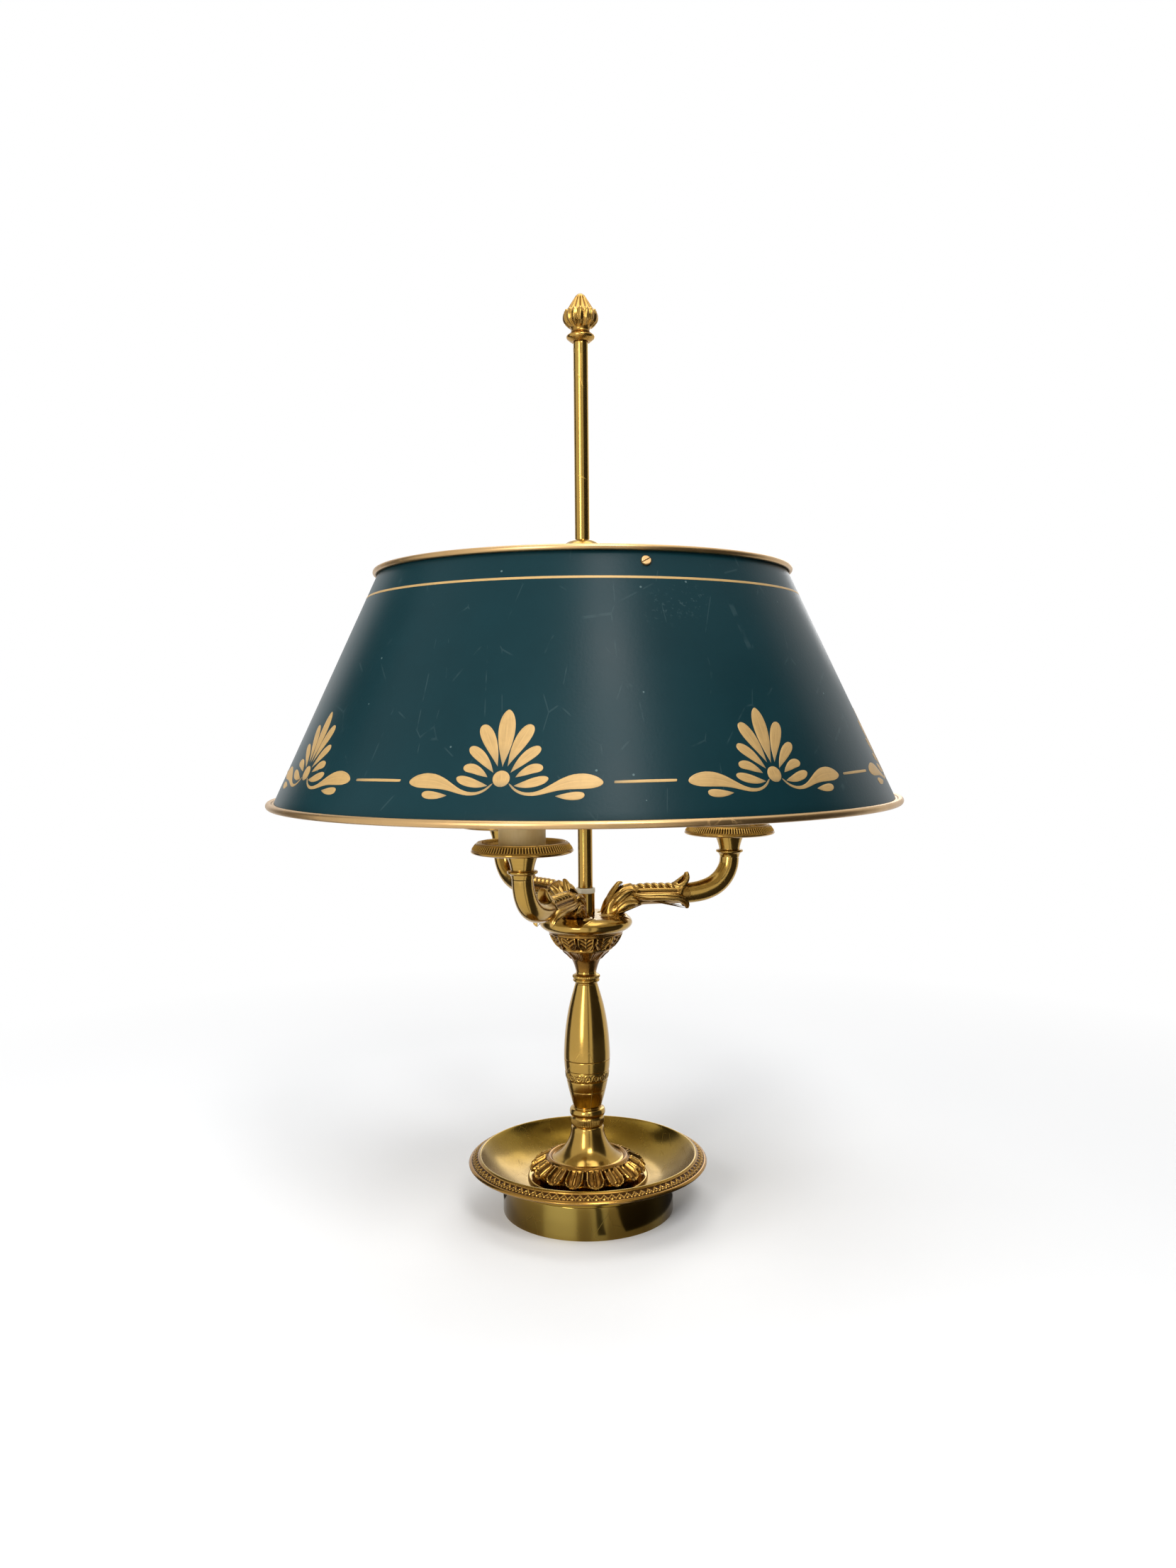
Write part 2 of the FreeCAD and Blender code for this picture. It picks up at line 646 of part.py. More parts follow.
def candle_sleeve():
    """Card tube that looks like a candle."""
    top = candle_z + CANDLE_H
    inner = CANDLE_R - CANDLE_WALL
    return turned([(inner, candle_z), (CANDLE_R, candle_z), (CANDLE_R, top - 0.5),
                   arc((CANDLE_R - 0.15, top - 0.15), (CANDLE_R - 0.5, top)), (inner, top)])


# Shade

shade_z = rod_z + SHADE_SETTING
shade_top = shade_z + SHADE_H
shade_slope = (SHADE_BOTTOM_R - SHADE_TOP_R) / SHADE_H
slant = math.hypot(1, shade_slope)
screw_z = shade_top - SCREW_DROP
screw_surface_r = SHADE_TOP_R + SCREW_DROP * shade_slope
sheet_across = SHADE_T * slant
spider_z = screw_z + SPIDER_RISE


def shade_point(up, out):
    """A point (r, z) this far up the cone's slant from a screw, and this far out from its painted face."""
    return (screw_surface_r - up * shade_slope / slant + out / slant,
            screw_z + up / slant + out * shade_slope / slant)


def on_screw_axis(shape, azimuth):
    """A copy of a piece modelled on +Z from the origin, placed at a screw with +Z square to the cone."""
    copy = shape.copy()
    outward = FreeCAD.Vector(1 / slant, 0, shade_slope / slant)
    turn = FreeCAD.Rotation(FreeCAD.Vector(0, 0, 1), outward)
    copy.Placement = FreeCAD.Placement(at(shade_point(0, 0)), turn).multiply(copy.Placement)
    return spun(copy, azimuth)


def screw_drill(azimuth):
    return on_screw_axis(Part.makeCylinder(SCREW_HOLE_R, 12, FreeCAD.Vector(0, 0, -8)), azimuth)


def shade_cone():
    """Sheet-metal cone with three screw holes near its top."""
    cone = turned([(SHADE_BOTTOM_R - sheet_across, 0), (SHADE_BOTTOM_R, 0), (SHADE_TOP_R, SHADE_H),
                   (SHADE_TOP_R - sheet_across, SHADE_H)], shade_z)
    return cone.cut(Part.makeCompound([screw_drill(azimuth) for azimuth in SPIDER_AZIMUTHS]))


def bead(ring_r, wire_r, ring_z, web_in, web_low, web_high):
    """Rolled rim: a round wire with a web that reaches the cone's edge."""
    def wire_r_at(height):
        return ring_r - math.sqrt(wire_r ** 2 - (height - ring_z) ** 2)
    return turned([(web_in, web_low), (wire_r_at(web_low), web_low),
                   arc((ring_r + wire_r, ring_z), (wire_r_at(web_high), web_high)), (web_in, web_high)])


def shade_bottom_rim():
    wire_z = shade_z - BOTTOM_BEAD_DROP
    return bead(SHADE_BOTTOM_R + BOTTOM_BEAD_OUT, BOTTOM_BEAD_WIRE, wire_z, SHADE_BOTTOM_R - sheet_across,
                shade_z - 1.2, shade_z)


def shade_top_rim():
    wire_z = shade_top + TOP_BEAD_RISE
    return bead(SHADE_TOP_R + TOP_BEAD_OUT, TOP_BEAD_WIRE, wire_z, SHADE_TOP_R - sheet_across,
                shade_top, shade_top + 1.2)


def spider():
    """Ring with three flat arms whose ends are bent along the inside of the cone."""
    gap = -(SHADE_T + TAB_GAP)
    back = gap - SPIDER_T
    ring = tube(SPIDER_RING_R, COLLAR_NECK_R + RUN, spider_z, spider_z + SPIDER_RING_T)
    root = SPIDER_RING_R - 2.0
    body = ring
    for azimuth in SPIDER_AZIMUTHS:
        strip = section([(root, spider_z + 0.2), (root, spider_z + 0.2 + SPIDER_T), shade_point(TAB_UP, gap),
                         shade_point(-TAB_DOWN, gap), shade_point(-TAB_DOWN, back),
                         shade_point(TAB_UP - SPIDER_T, back)])
        strip.translate(FreeCAD.Vector(0, -SPIDER_W / 2, 0))
        body = body.fuse(spun(strip.extrude(FreeCAD.Vector(0, SPIDER_W, 0)), azimuth))
    body = body.removeSplitter()
    return body.cut(Part.makeCompound([screw_drill(azimuth) for azimuth in SPIDER_AZIMUTHS]))


def shade_screws():
    """Slotted screws that fix the shade to the spider."""
    grip = SHADE_T + TAB_GAP + SPIDER_T + SCREW_NUT_T + SCREW_TAIL
    head = Part.makeCylinder(SCREW_HEAD_R, SCREW_HEAD_H)
    head = head.makeFillet(0.6, [edge for edge in head.Edges if abs(edge.BoundBox.ZMin - SCREW_HEAD_H) < 1e-3])
    slot = Part.makeBox(4 * SCREW_HEAD_R, SCREW_SLOT, SCREW_HEAD_H,
                        FreeCAD.Vector(-2 * SCREW_HEAD_R, -SCREW_SLOT / 2, SCREW_HEAD_H / 2))
    slot.rotate(FreeCAD.Vector(0, 0, 0), FreeCAD.Vector(0, 0, 1), 90 + SCREW_SLOT_ANGLE)
    shank = Part.makeCylinder(SCREW_R, grip, FreeCAD.Vector(0, 0, -grip))
    screw = head.cut(slot).fuse(shank).removeSplitter()
    return Part.makeCompound([on_screw_axis(screw, azimuth) for azimuth in SPIDER_AZIMUTHS])


def shade_nuts():
    inner = -(SHADE_T + TAB_GAP + SPIDER_T)
    nut = hexagon(SCREW_NUT_FLATS, inner - SCREW_NUT_T, inner, SCREW_R)
    return Part.makeCompound([on_screw_axis(nut, azimuth) for azimuth in SPIDER_AZIMUTHS])


# Collar on the rod

flange_z = spider_z - PLAY
collar_z = flange_z - COLLAR_FLANGE_T - COLLAR_L
key_z = collar_z + KEY_RISE


def slide_collar():
    """Sleeve that slides on the rod; the spider turns on its neck and the key clamps it."""
    bore = ROD_R + RUN
    body = turned([(bore, collar_z), (COLLAR_R - 0.8, collar_z), (COLLAR_R, collar_z + 0.8),
                   (COLLAR_R, flange_z - COLLAR_FLANGE_T - 2.0), (COLLAR_FLANGE_R - 1.0, flange_z - COLLAR_FLANGE_T),
                   arc((COLLAR_FLANGE_R, flange_z - COLLAR_FLANGE_T / 2), (COLLAR_FLANGE_R - 1.0, flange_z)),
                   (COLLAR_NECK_R, flange_z), (COLLAR_NECK_R, flange_z + COLLAR_NECK_H),
                   (bore, flange_z + COLLAR_NECK_H)])
    boss = radial_bar(KEY_BOSS_R, 0, KEY_BOSS_REACH, key_z, KEY_AZIMUTH)
    core = tube(bore, 0, collar_z - 5, flange_z)
    drill = radial_bar(KEY_R + RUN, 0, KEY_BOSS_REACH + 1, key_z, KEY_AZIMUTH)
    return body.fuse(boss.cut(core)).removeSplitter().cut(drill)


def dome_nut():
    """Domed nut over the spider's ring, screwed onto the collar's neck."""
    low = spider_z + SPIDER_RING_T + PLAY
    top = low + DOME_H
    ceiling = flange_z + COLLAR_NECK_H
    bore = COLLAR_NECK_R + RUN
    return turned([(bore, low), (DOME_R - 0.6, low), (DOME_R, low + 0.6), (DOME_R, low + DOME_EDGE_H - 0.5),
                   curve((DOME_R - 2.6, low + DOME_H - 4.0), (ROD_R + 4.5, low + DOME_H - 1.2),
                         (ROD_R + LOOSE + 0.4, top)),
                   (ROD_R + LOOSE, top), (ROD_R + LOOSE, ceiling), (bore, ceiling)])


def clamp_key():
    """Thumb screw with a flat wing, square to the rod."""
    tip = ROD_R + RUN
    shank_end = KEY_BOSS_REACH + PLAY
    shank = radial_bar(KEY_R, tip, shank_end, key_z, 0)
    button = radial_bar(KEY_R + 1.5, shank_end, shank_end + KEY_COLLAR_T, key_z, 0)
    wing_x = shank_end + KEY_COLLAR_T + KEY_WING_R - 1.0
    wing = Part.makeCylinder(KEY_WING_R, KEY_WING_T, FreeCAD.Vector(wing_x, -KEY_WING_T / 2, key_z),
                             FreeCAD.Vector(0, 1, 0))
    eye = Part.makeCylinder(KEY_WING_R * 0.35, KEY_WING_T, FreeCAD.Vector(wing_x + 1.5, -KEY_WING_T / 2, key_z),
                            FreeCAD.Vector(0, 1, 0))
    return spun(shank.fuse([button, wing]).removeSplitter().cut(eye), KEY_AZIMUTH)


def pieces():
    """Every node's name and shape."""
    found = {maker.__name__: maker() for maker in (
        base_felt, base_drum, base_weight, base_washer, base_nut, cable_bush, drip_pan, foot_disc,
        leaf_collar, flared_foot, foot_ring, vase_column, neck_ring, arm_cup, cup_cover, tie_pipe,
        rod_sleeve, rod_spacer, centre_rod, finial, arm_nuts, arm_wires, arm_nipples, socket_contacts,
        shade_cone, shade_bottom_rim, shade_top_rim, spider, shade_screws, shade_nuts, slide_collar,
        dome_nut, clamp_key)}
    bent_arm = arm()
    for number, azimuth in enumerate(ARM_AZIMUTHS, 1):
        found[f"arm_{number}"] = spun(bent_arm, azimuth)
        found[f"candle_cup_{number}"] = out_on_arm(candle_cup(), azimuth)
        found[f"drip_ring_{number}"] = out_on_arm(drip_ring(), azimuth)
        found[f"lamp_holder_{number}"] = out_on_arm(lamp_holder(), azimuth)
        found[f"candle_sleeve_{number}"] = out_on_arm(candle_sleeve(), azimuth)
    return found


os.makedirs("parts", exist_ok=True)
for name, shape in pieces().items():
    shape.exportStep(f"parts/{name}.step")
    if not shape.isValid():
        print("not valid:", name)
    print(name, len(shape.Solids), round(shape.Volume, 1), [round(n, 1) for n in (
        shape.BoundBox.XMin, shape.BoundBox.YMin, shape.BoundBox.ZMin,
        shape.BoundBox.XMax, shape.BoundBox.YMax, shape.BoundBox.ZMax)])
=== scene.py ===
import math

import bmesh
import bpy
import numpy as np
from mathutils import Euler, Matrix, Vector


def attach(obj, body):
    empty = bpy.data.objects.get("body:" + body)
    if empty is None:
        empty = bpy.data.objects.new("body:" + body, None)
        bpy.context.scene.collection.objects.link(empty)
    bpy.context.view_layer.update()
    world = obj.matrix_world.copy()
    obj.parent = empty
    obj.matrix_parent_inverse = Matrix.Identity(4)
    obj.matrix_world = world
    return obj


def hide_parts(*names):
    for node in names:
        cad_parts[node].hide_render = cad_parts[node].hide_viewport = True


bl_info = {
    "name": "Bouillotte Lamp Looks",
    "version": (1, 0, 0),
    "blender": (4, 5, 0),
    "location": "View3D > Sidebar > Lamp",
    "description": "Detailed pieces, finishes and studio for a three-light bouillotte lamp",
    "category": "Add Mesh",
}

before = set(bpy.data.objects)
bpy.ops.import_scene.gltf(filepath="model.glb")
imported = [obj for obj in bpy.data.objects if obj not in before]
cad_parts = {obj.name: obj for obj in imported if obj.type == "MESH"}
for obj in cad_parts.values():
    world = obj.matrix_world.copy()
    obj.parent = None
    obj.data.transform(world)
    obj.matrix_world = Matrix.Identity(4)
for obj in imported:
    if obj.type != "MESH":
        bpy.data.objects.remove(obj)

# Sizes are in millimetres here and become metres when a mesh is made.
MM = 0.001
ARM_AZIMUTHS = (8.0, 128.0, 248.0)
ARM_REACH = 91.2
BORE_R = 5.1          # way for the pipe through the column's turned pieces
SHADE_FOOT = (185.3, 256.96)
SHADE_HEAD = (123.0, 390.46)
SHADE_T = 0.7
SHADE_LEAN = math.atan2(SHADE_FOOT[0] - SHADE_HEAD[0], SHADE_HEAD[1] - SHADE_FOOT[1])


# Settings

class LampSettings(bpy.types.PropertyGroup):
    """Sizes and colours that a user may want to change."""
    shade_colour: bpy.props.FloatVectorProperty(
        name="Shade", description="Lacquer of the shade", subtype="COLOR", size=3,
        min=0.0, max=1.0, default=(0.0036, 0.0240, 0.0300))
    lining_colour: bpy.props.FloatVectorProperty(
        name="Lining", description="Paint on the inside of the shade", subtype="COLOR", size=3,
        min=0.0, max=1.0, default=(0.76, 0.73, 0.64))
    gold_colour: bpy.props.FloatVectorProperty(
        name="Gold paint", description="Painted ornament and pinstripe", subtype="COLOR", size=3,
        min=0.0, max=1.0, default=(0.50, 0.315, 0.115))
    brass_colour: bpy.props.FloatVectorProperty(
        name="Brass", description="Polished brass", subtype="COLOR", size=3,
        min=0.0, max=1.0, default=(0.43, 0.265, 0.062))
    # The patina colour also darkens every metal's recesses, as patina and painted shade.
    patina_and_shade_colour: bpy.props.FloatVectorProperty(
        name="Patina and shade", description="Brown left in the recesses of the cast ornaments",
        subtype="COLOR", size=3, min=0.0, max=1.0, default=(0.050, 0.020, 0.005))
    # Ivory card darkened for the shadow the shade casts on the sleeves: painted shade.
    shaded_candle_colour: bpy.props.FloatVectorProperty(
        name="Candles", description="Card of the candle sleeves", subtype="COLOR", size=3,
        min=0.0, max=1.0, default=(0.55, 0.41, 0.19))
    motif_count: bpy.props.IntProperty(
        name="Palmettes", description="Painted palmettes round the shade", default=8, min=1, max=16)
    motif_turn: bpy.props.FloatProperty(
        name="First palmette", description="Direction of the first palmette", subtype="ANGLE",
        unit="ROTATION", default=math.radians(-102.8))
    paint_thickness: bpy.props.FloatProperty(
        name="Paint", description="Height of the painted strokes over the lacquer", subtype="DISTANCE",
        unit="LENGTH", default=0.00014, min=0.0)


def settings():
    """The values in the panel."""
    return bpy.context.scene.lamp


# Curves and surfaces

def through(points, count):
    """Smooth curve through the given points: between two of them a cubic, whose slope at each
    is the mean of the slopes on both sides, weighted by the opposite side's length."""
    p = np.asarray(points, float)
    h = np.linalg.norm(np.diff(p, axis=0), axis=1)
    knots = np.concatenate([[0.0], np.cumsum(h)])
    g = np.diff(p, axis=0) / h[:, None]
    inner = (g[1:] * h[:-1, None] + g[:-1] * h[1:, None]) / (h[1:] + h[:-1])[:, None]
    m = np.vstack([g[:1], inner, g[-1:]])
    x = np.linspace(0.0, knots[-1], count)
    i = np.clip(np.searchsorted(knots, x, side="right") - 1, 0, len(h) - 1)
    f = ((x - knots[i]) / h[i])[:, None]
    span = h[i][:, None]
    start = (1 + 2 * f) * (1 - f) ** 2 * p[i] + f * (1 - f) ** 2 * span * m[i]
    end = f ** 2 * (3 - 2 * f) * p[i + 1] + f ** 2 * (f - 1) * span * m[i + 1]
    return start + end


def softened(points, radius=0.25, step=0.6, closed=True):
    """Outline whose sharper corners are cut back by radius, or by nearly half of a shorter run,
    and bridged by a parabola, and whose runs are divided so that none is longer than step."""
    p = np.asarray(points, float)
    before, after = np.roll(p, 1, 0) - p, np.roll(p, -1, 0) - p
    reach_in = np.maximum(np.linalg.norm(before, axis=1), 1e-9)
    reach_out = np.maximum(np.linalg.norm(after, axis=1), 1e-9)
    bend = np.arccos(np.clip(-(before * after).sum(1) / (reach_in * reach_out), -1, 1))
    sharp = bend > math.radians(14)
    if not closed:
        sharp[[0, -1]] = False
    cut = np.where(sharp, radius, 0.0)
    a = p + before * (np.minimum(cut, 0.45 * reach_in) / reach_in)[:, None]
    b = p + after * (np.minimum(cut, 0.45 * reach_out) / reach_out)[:, None]
    n = np.where(sharp, 5, 1)
    i = np.repeat(np.arange(len(p)), n)
    t = ((np.arange(len(i)) - np.repeat(np.cumsum(n) - n, n)) / 4)[:, None]
    q = (1 - t) ** 2 * a[i] + 2 * t * (1 - t) * p[i] + t ** 2 * b[i]
    ahead = np.roll(q, -1, 0) if closed else np.vstack([q[1:], q[-1:]])
    n = np.maximum(1, np.ceil(np.linalg.norm(ahead - q, axis=1) / step)).astype(int)
    i = np.repeat(np.arange(len(q)), n)
    f = (np.arange(len(i)) - np.repeat(np.cumsum(n) - n, n)) / np.repeat(n, n)
    return q[i] + (ahead[i] - q[i]) * f[:, None]


def neighbour(p, axis, step, wrap):
    """The grid moved by step along an axis: round to the start where it wraps, else held at the end."""
    if wrap:
        return np.roll(p, -step, axis)
    return p.take(np.clip(np.arange(p.shape[axis]) + step, 0, p.shape[axis] - 1), axis)


def hollows(p, wrap, reach):
    """How deep each point lies under the mean of its neighbourhood, along the normal, as a share
    of reach: recess where it lies inside that mean, edge where it stands proud."""
    q = p
    for _ in range(8):
        q = (q + sum(neighbour(q, a, s, wrap[a]) for a in (0, 1) for s in (-1, 1))) / 5
    across = neighbour(p, 0, 1, wrap[0]) - neighbour(p, 0, -1, wrap[0])
    along = neighbour(p, 1, 1, wrap[1]) - neighbour(p, 1, -1, wrap[1])
    n = np.cross(across, along)
    n /= np.maximum(np.linalg.norm(n, axis=-1, keepdims=True), 1e-9)
    depth = ((q - p) * n).sum(-1) / reach
    return np.clip(depth, 0, 1), np.clip(-depth, 0, 1)


def shell(p, wrap=(True, True), reach=0.25):
    """One closed surface from a grid of points: quads between rows and columns, turned outwards
    when the volume they enclose comes out negative, with the grid's shares as its map."""
    rows, columns = p.shape[:2]
    i, j = np.meshgrid(np.arange(rows if wrap[0] else rows - 1),
                       np.arange(columns if wrap[1] else columns - 1), indexing="ij")
    i2, j2 = (i + 1) % rows, (j + 1) % columns
    faces = np.stack([i * columns + j, i2 * columns + j, i2 * columns + j2, i * columns + j2], -1)
    faces = faces.reshape(-1, 4)
    edge_u = np.stack([i, i + 1, i + 1, i], -1).reshape(-1, 4) / rows
    edge_v = np.stack([j, j, j + 1, j + 1], -1).reshape(-1, 4) / columns
    recess, edge = hollows(p, wrap, reach)
    v = p.reshape(-1, 3)
    centred = v - v.mean(0)
    a, b, c, d = (centred[faces[:, k]] for k in range(4))
    volume = (a * np.cross(b, c)).sum() + (a * np.cross(c, d)).sum()
    if volume < 0:
        faces, edge_u, edge_v = faces[:, ::-1], edge_u[:, ::-1], edge_v[:, ::-1]
        recess, edge = edge, recess
    return {"points": v, "faces": faces, "uv": np.stack([edge_u, edge_v], -1).reshape(-1, 2),
            "recess": recess.ravel(), "edge": edge.ravel(), "finish": np.zeros(len(faces), int)}


def turned(outline, count, relief=None, centre=(0.0, 0.0), closed=True):
    """Surface of revolution: every outline point (r, z) is carried round the upright axis through
    centre, after moving along the outline's normal by relief(angle, r, z)."""
    ahead = np.roll(outline, -1, 0) if closed else np.vstack([outline[1:], outline[-1:]])
    behind = np.roll(outline, 1, 0) if closed else np.vstack([outline[:1], outline[:-1]])
    d = ahead - behind
    n = np.stack([d[:, 1], -d[:, 0]], 1)
    n /= np.maximum(np.linalg.norm(n, axis=1, keepdims=True), 1e-9)
    a = (np.arange(count) / count * 2 * np.pi)[:, None]
    r, z = outline[:, 0][None], outline[:, 1][None]
    h = relief(a, r, z) if relief else np.zeros((count, 1))
    h = h + 0 * r * a
    r = np.maximum(r + h * n[:, 0] * (r > 1e-6), 0)
    z = z + h * n[:, 1]
    return np.stack([centre[0] + r * np.cos(a), centre[1] + r * np.sin(a), z], -1)


def swept(path, up, width, height, count, power):
    """Section carried along a path: at each path point an oval, half its breadth width and half its
    rise height along up, with its sides drawn in by power."""
    ahead = np.vstack([path[1:], path[-1:]])
    behind = np.vstack([path[:1], path[:-1]])
    t = ahead - behind
    t /= np.linalg.norm(t, axis=1, keepdims=True)
    side = np.cross(t, up)
    side /= np.linalg.norm(side, axis=1, keepdims=True)
    top = np.cross(side, t)
    a = np.linspace(0, 2 * np.pi, count, endpoint=False)[None, :, None]
    rise = np.sign(np.sin(a)) * np.abs(np.sin(a)) ** power
    return path[:, None] + side[:, None] * np.cos(a) * width + top[:, None] * rise * height


def placed(p, azimuth):
    """The points turned about the lamp's axis to an azimuth in degrees."""
    c, s = math.cos(math.radians(azimuth)), math.sin(math.radians(azimuth))
    return p @ np.array([[c, s, 0.0], [-s, c, 0.0], [0.0, 0.0, 1.0]])


def smooth(x, low, high):
    """0 up to low, 1 from high, and a soft rise between."""
    t = np.clip((x - low) / (high - low), 0, 1)
    return t * t * (3 - 2 * t)


def band(x, low, high, soft):
    """1 between low and high, with edges as wide as soft."""
    return smooth(x, low - soft / 2, low + soft / 2) * (1 - smooth(x, high - soft / 2, high + soft / 2))


def groove(x, at, width, depth):
    """A round groove of that depth across x."""
    return -depth * np.exp(-((x - at) / (0.5 * width)) ** 2)


def piece(name, shells, finishes, body, nodes=(), angle=32.0):
    """Mesh object from shells, with doubled points joined and corners sharper than angle kept
    crisp. It rides on a body and stands for CAD nodes."""
    starts = np.cumsum([0] + [len(s["points"]) for s in shells])
    faces = np.vstack([s["faces"] + start for s, start in zip(shells, starts)])
    mesh = bpy.data.meshes.new(name)
    mesh.vertices.add(starts[-1])
    mesh.vertices.foreach_set("co", (np.vstack([s["points"] for s in shells]) * MM).ravel())
    mesh.loops.add(faces.size)
    mesh.loops.foreach_set("vertex_index", faces.ravel())
    mesh.polygons.add(len(faces))
    mesh.polygons.foreach_set("loop_start", np.arange(len(faces)) * 4)
    for finish in finishes:
        mesh.materials.append(finish)
    mesh.polygons.foreach_set("material_index", np.concatenate([s["finish"] for s in shells]))
    mesh.update(calc_edges=True)
    layer = mesh.uv_layers.new(name="UVMap")
    layer.data.foreach_set("uv", np.vstack([s["uv"] for s in shells]).ravel())
    for key in ("recess", "edge"):
        attribute = mesh.attributes.new(key, "FLOAT", "POINT")
        attribute.data.foreach_set("value", np.concatenate([s[key] for s in shells]).astype(np.float32))
    soup = bmesh.new()
    soup.from_mesh(mesh)
    bmesh.ops.remove_doubles(soup, verts=soup.verts, dist=2e-7)
    soup.to_mesh(mesh)
    soup.free()
    mesh.validate()
    mesh.polygons.foreach_set("use_smooth", np.ones(len(mesh.polygons), bool))
    mesh.set_sharp_from_angle(angle=math.radians(angle))
    mesh.update()
    made = bpy.data.objects.new(name, mesh)
    bpy.context.scene.collection.objects.link(made)
    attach(made, body)
    if nodes:
        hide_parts(*nodes)


def dress(finish, *nodes):
    """Puts a finish on every material slot of CAD nodes."""
    for name in nodes:
        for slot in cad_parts[name].material_slots:
            slot.material = finish


# Finishes

def node(tree, kind, inputs=None, **properties):
    """Adds a node, sets its properties, and links or sets its inputs."""
    made = tree.nodes.new(kind)
    for key, value in properties.items():
        setattr(made, key, value)
    for key, value in (inputs or {}).items():
        if isinstance(value, bpy.types.NodeSocket):
            tree.links.new(value, made.inputs[key])
        else:
            made.inputs[key].default_value = value
    return made


def maths(tree, operation, a, b, clamp=False):
    """Sum, product or test of two values."""
    return node(tree, "ShaderNodeMath", {0: a, 1: b}, operation=operation, use_clamp=clamp).outputs[0]


def blended(tree, share, a, b):
    """Colour between a and b."""
    return node(tree, "ShaderNodeMix", {0: share, 6: a, 7: b}, data_type="RGBA").outputs[2]


def ramped(tree, value, low, high, bottom=0.0, top=1.0):
    """The value's range from low to high, spread over bottom to top."""
    return node(tree, "ShaderNodeMapRange", {0: value, 1: low, 2: high, 3: bottom, 4: top}).outputs[0]


def clouds(tree, scale, detail=4.0, rough=0.55, stretch=(1.0, 1.0, 1.0), source="Object"):
    """Noise over object coordinates or the piece's map, stretched."""
    place = node(tree, "ShaderNodeTexCoord").outputs[source]
    place = node(tree, "ShaderNodeMapping", {"Vector": place, "Scale": stretch}).outputs[0]
    return node(tree, "ShaderNodeTexNoise", {"Vector": place, "Scale": scale, "Detail": detail,
                                             "Roughness": rough}).outputs["Fac"]


def group(name, inputs, outputs):
    """Shader node group with its named sockets, and its input and output nodes."""
    made = bpy.data.node_groups.new(name, "ShaderNodeTree")
    for label, kind, value in inputs:
        socket = made.interface.new_socket(label, in_out="INPUT", socket_type=kind)
        socket.default_value = value
    for label, kind in outputs:
        made.interface.new_socket(label, in_out="OUTPUT", socket_type=kind)
    return made, made.nodes.new("NodeGroupInput"), made.nodes.new("NodeGroupOutput")


COLOUR, NUMBER = "NodeSocketColor", "NodeSocketFloat"


def tarnish_and_shade_group():
    """Clean metal on the faces, patina in soft clouds, patina and painted shade in the recesses, bright on
    the edges.
    """
    if "Tarnish and shade" in bpy.data.node_groups:
        return bpy.data.node_groups["Tarnish and shade"]
    tree, given, out = group("Tarnish and shade", (
        ("Clean", COLOUR, (0.7, 0.5, 0.2, 1)), ("Bright", COLOUR, (0.9, 0.7, 0.35, 1)),
        ("Patina and shade", COLOUR, (0.05, 0.02, 0.005, 1)), ("Recess", NUMBER, 1.0), ("Clouds", NUMBER, 0.2),
        ("Edges", NUMBER, 0.5), ("Scale", NUMBER, 40.0), ("Smooth", NUMBER, 0.15),
        ("Dull", NUMBER, 0.5)), (("Color", COLOUR), ("Roughness", NUMBER)))
    low = node(tree, "ShaderNodeAttribute", attribute_name="recess").outputs["Fac"]
    high = node(tree, "ShaderNodeAttribute", attribute_name="edge").outputs["Fac"]
    soft = clouds(tree, 1.0)
    tree.links.new(given.outputs["Scale"], soft.node.inputs["Scale"])
    fine = clouds(tree, 900.0, 3.0)
    spread = maths(tree, "MULTIPLY", ramped(tree, soft, 0.42, 0.72), given.outputs["Clouds"])
    # Recesses darken towards the patina colour: patina and painted shade.
    deep = maths(tree, "MULTIPLY", low, given.outputs["Recess"])
    deep = maths(tree, "MULTIPLY", deep, ramped(tree, fine, 0.2, 0.6, 0.65, 1.1))
    mask = maths(tree, "ADD", spread, deep, clamp=True)
    colour = blended(tree, mask, given.outputs["Clean"], given.outputs["Patina and shade"])
    shine = maths(tree, "MULTIPLY", high, given.outputs["Edges"], clamp=True)
    colour = blended(tree, shine, colour, given.outputs["Bright"])
    dulled = maths(tree, "SUBTRACT", mask, shine, clamp=True)
    gap = maths(tree, "SUBTRACT", given.outputs["Dull"], given.outputs["Smooth"])
    rough = maths(tree, "ADD", given.outputs["Smooth"], maths(tree, "MULTIPLY", gap, dulled))
    rough = maths(tree, "ADD", rough, ramped(tree, soft, 0.3, 0.7, -0.02, 0.04))
    tree.links.new(colour, out.inputs["Color"])
    tree.links.new(rough, out.inputs["Roughness"])
    return tree


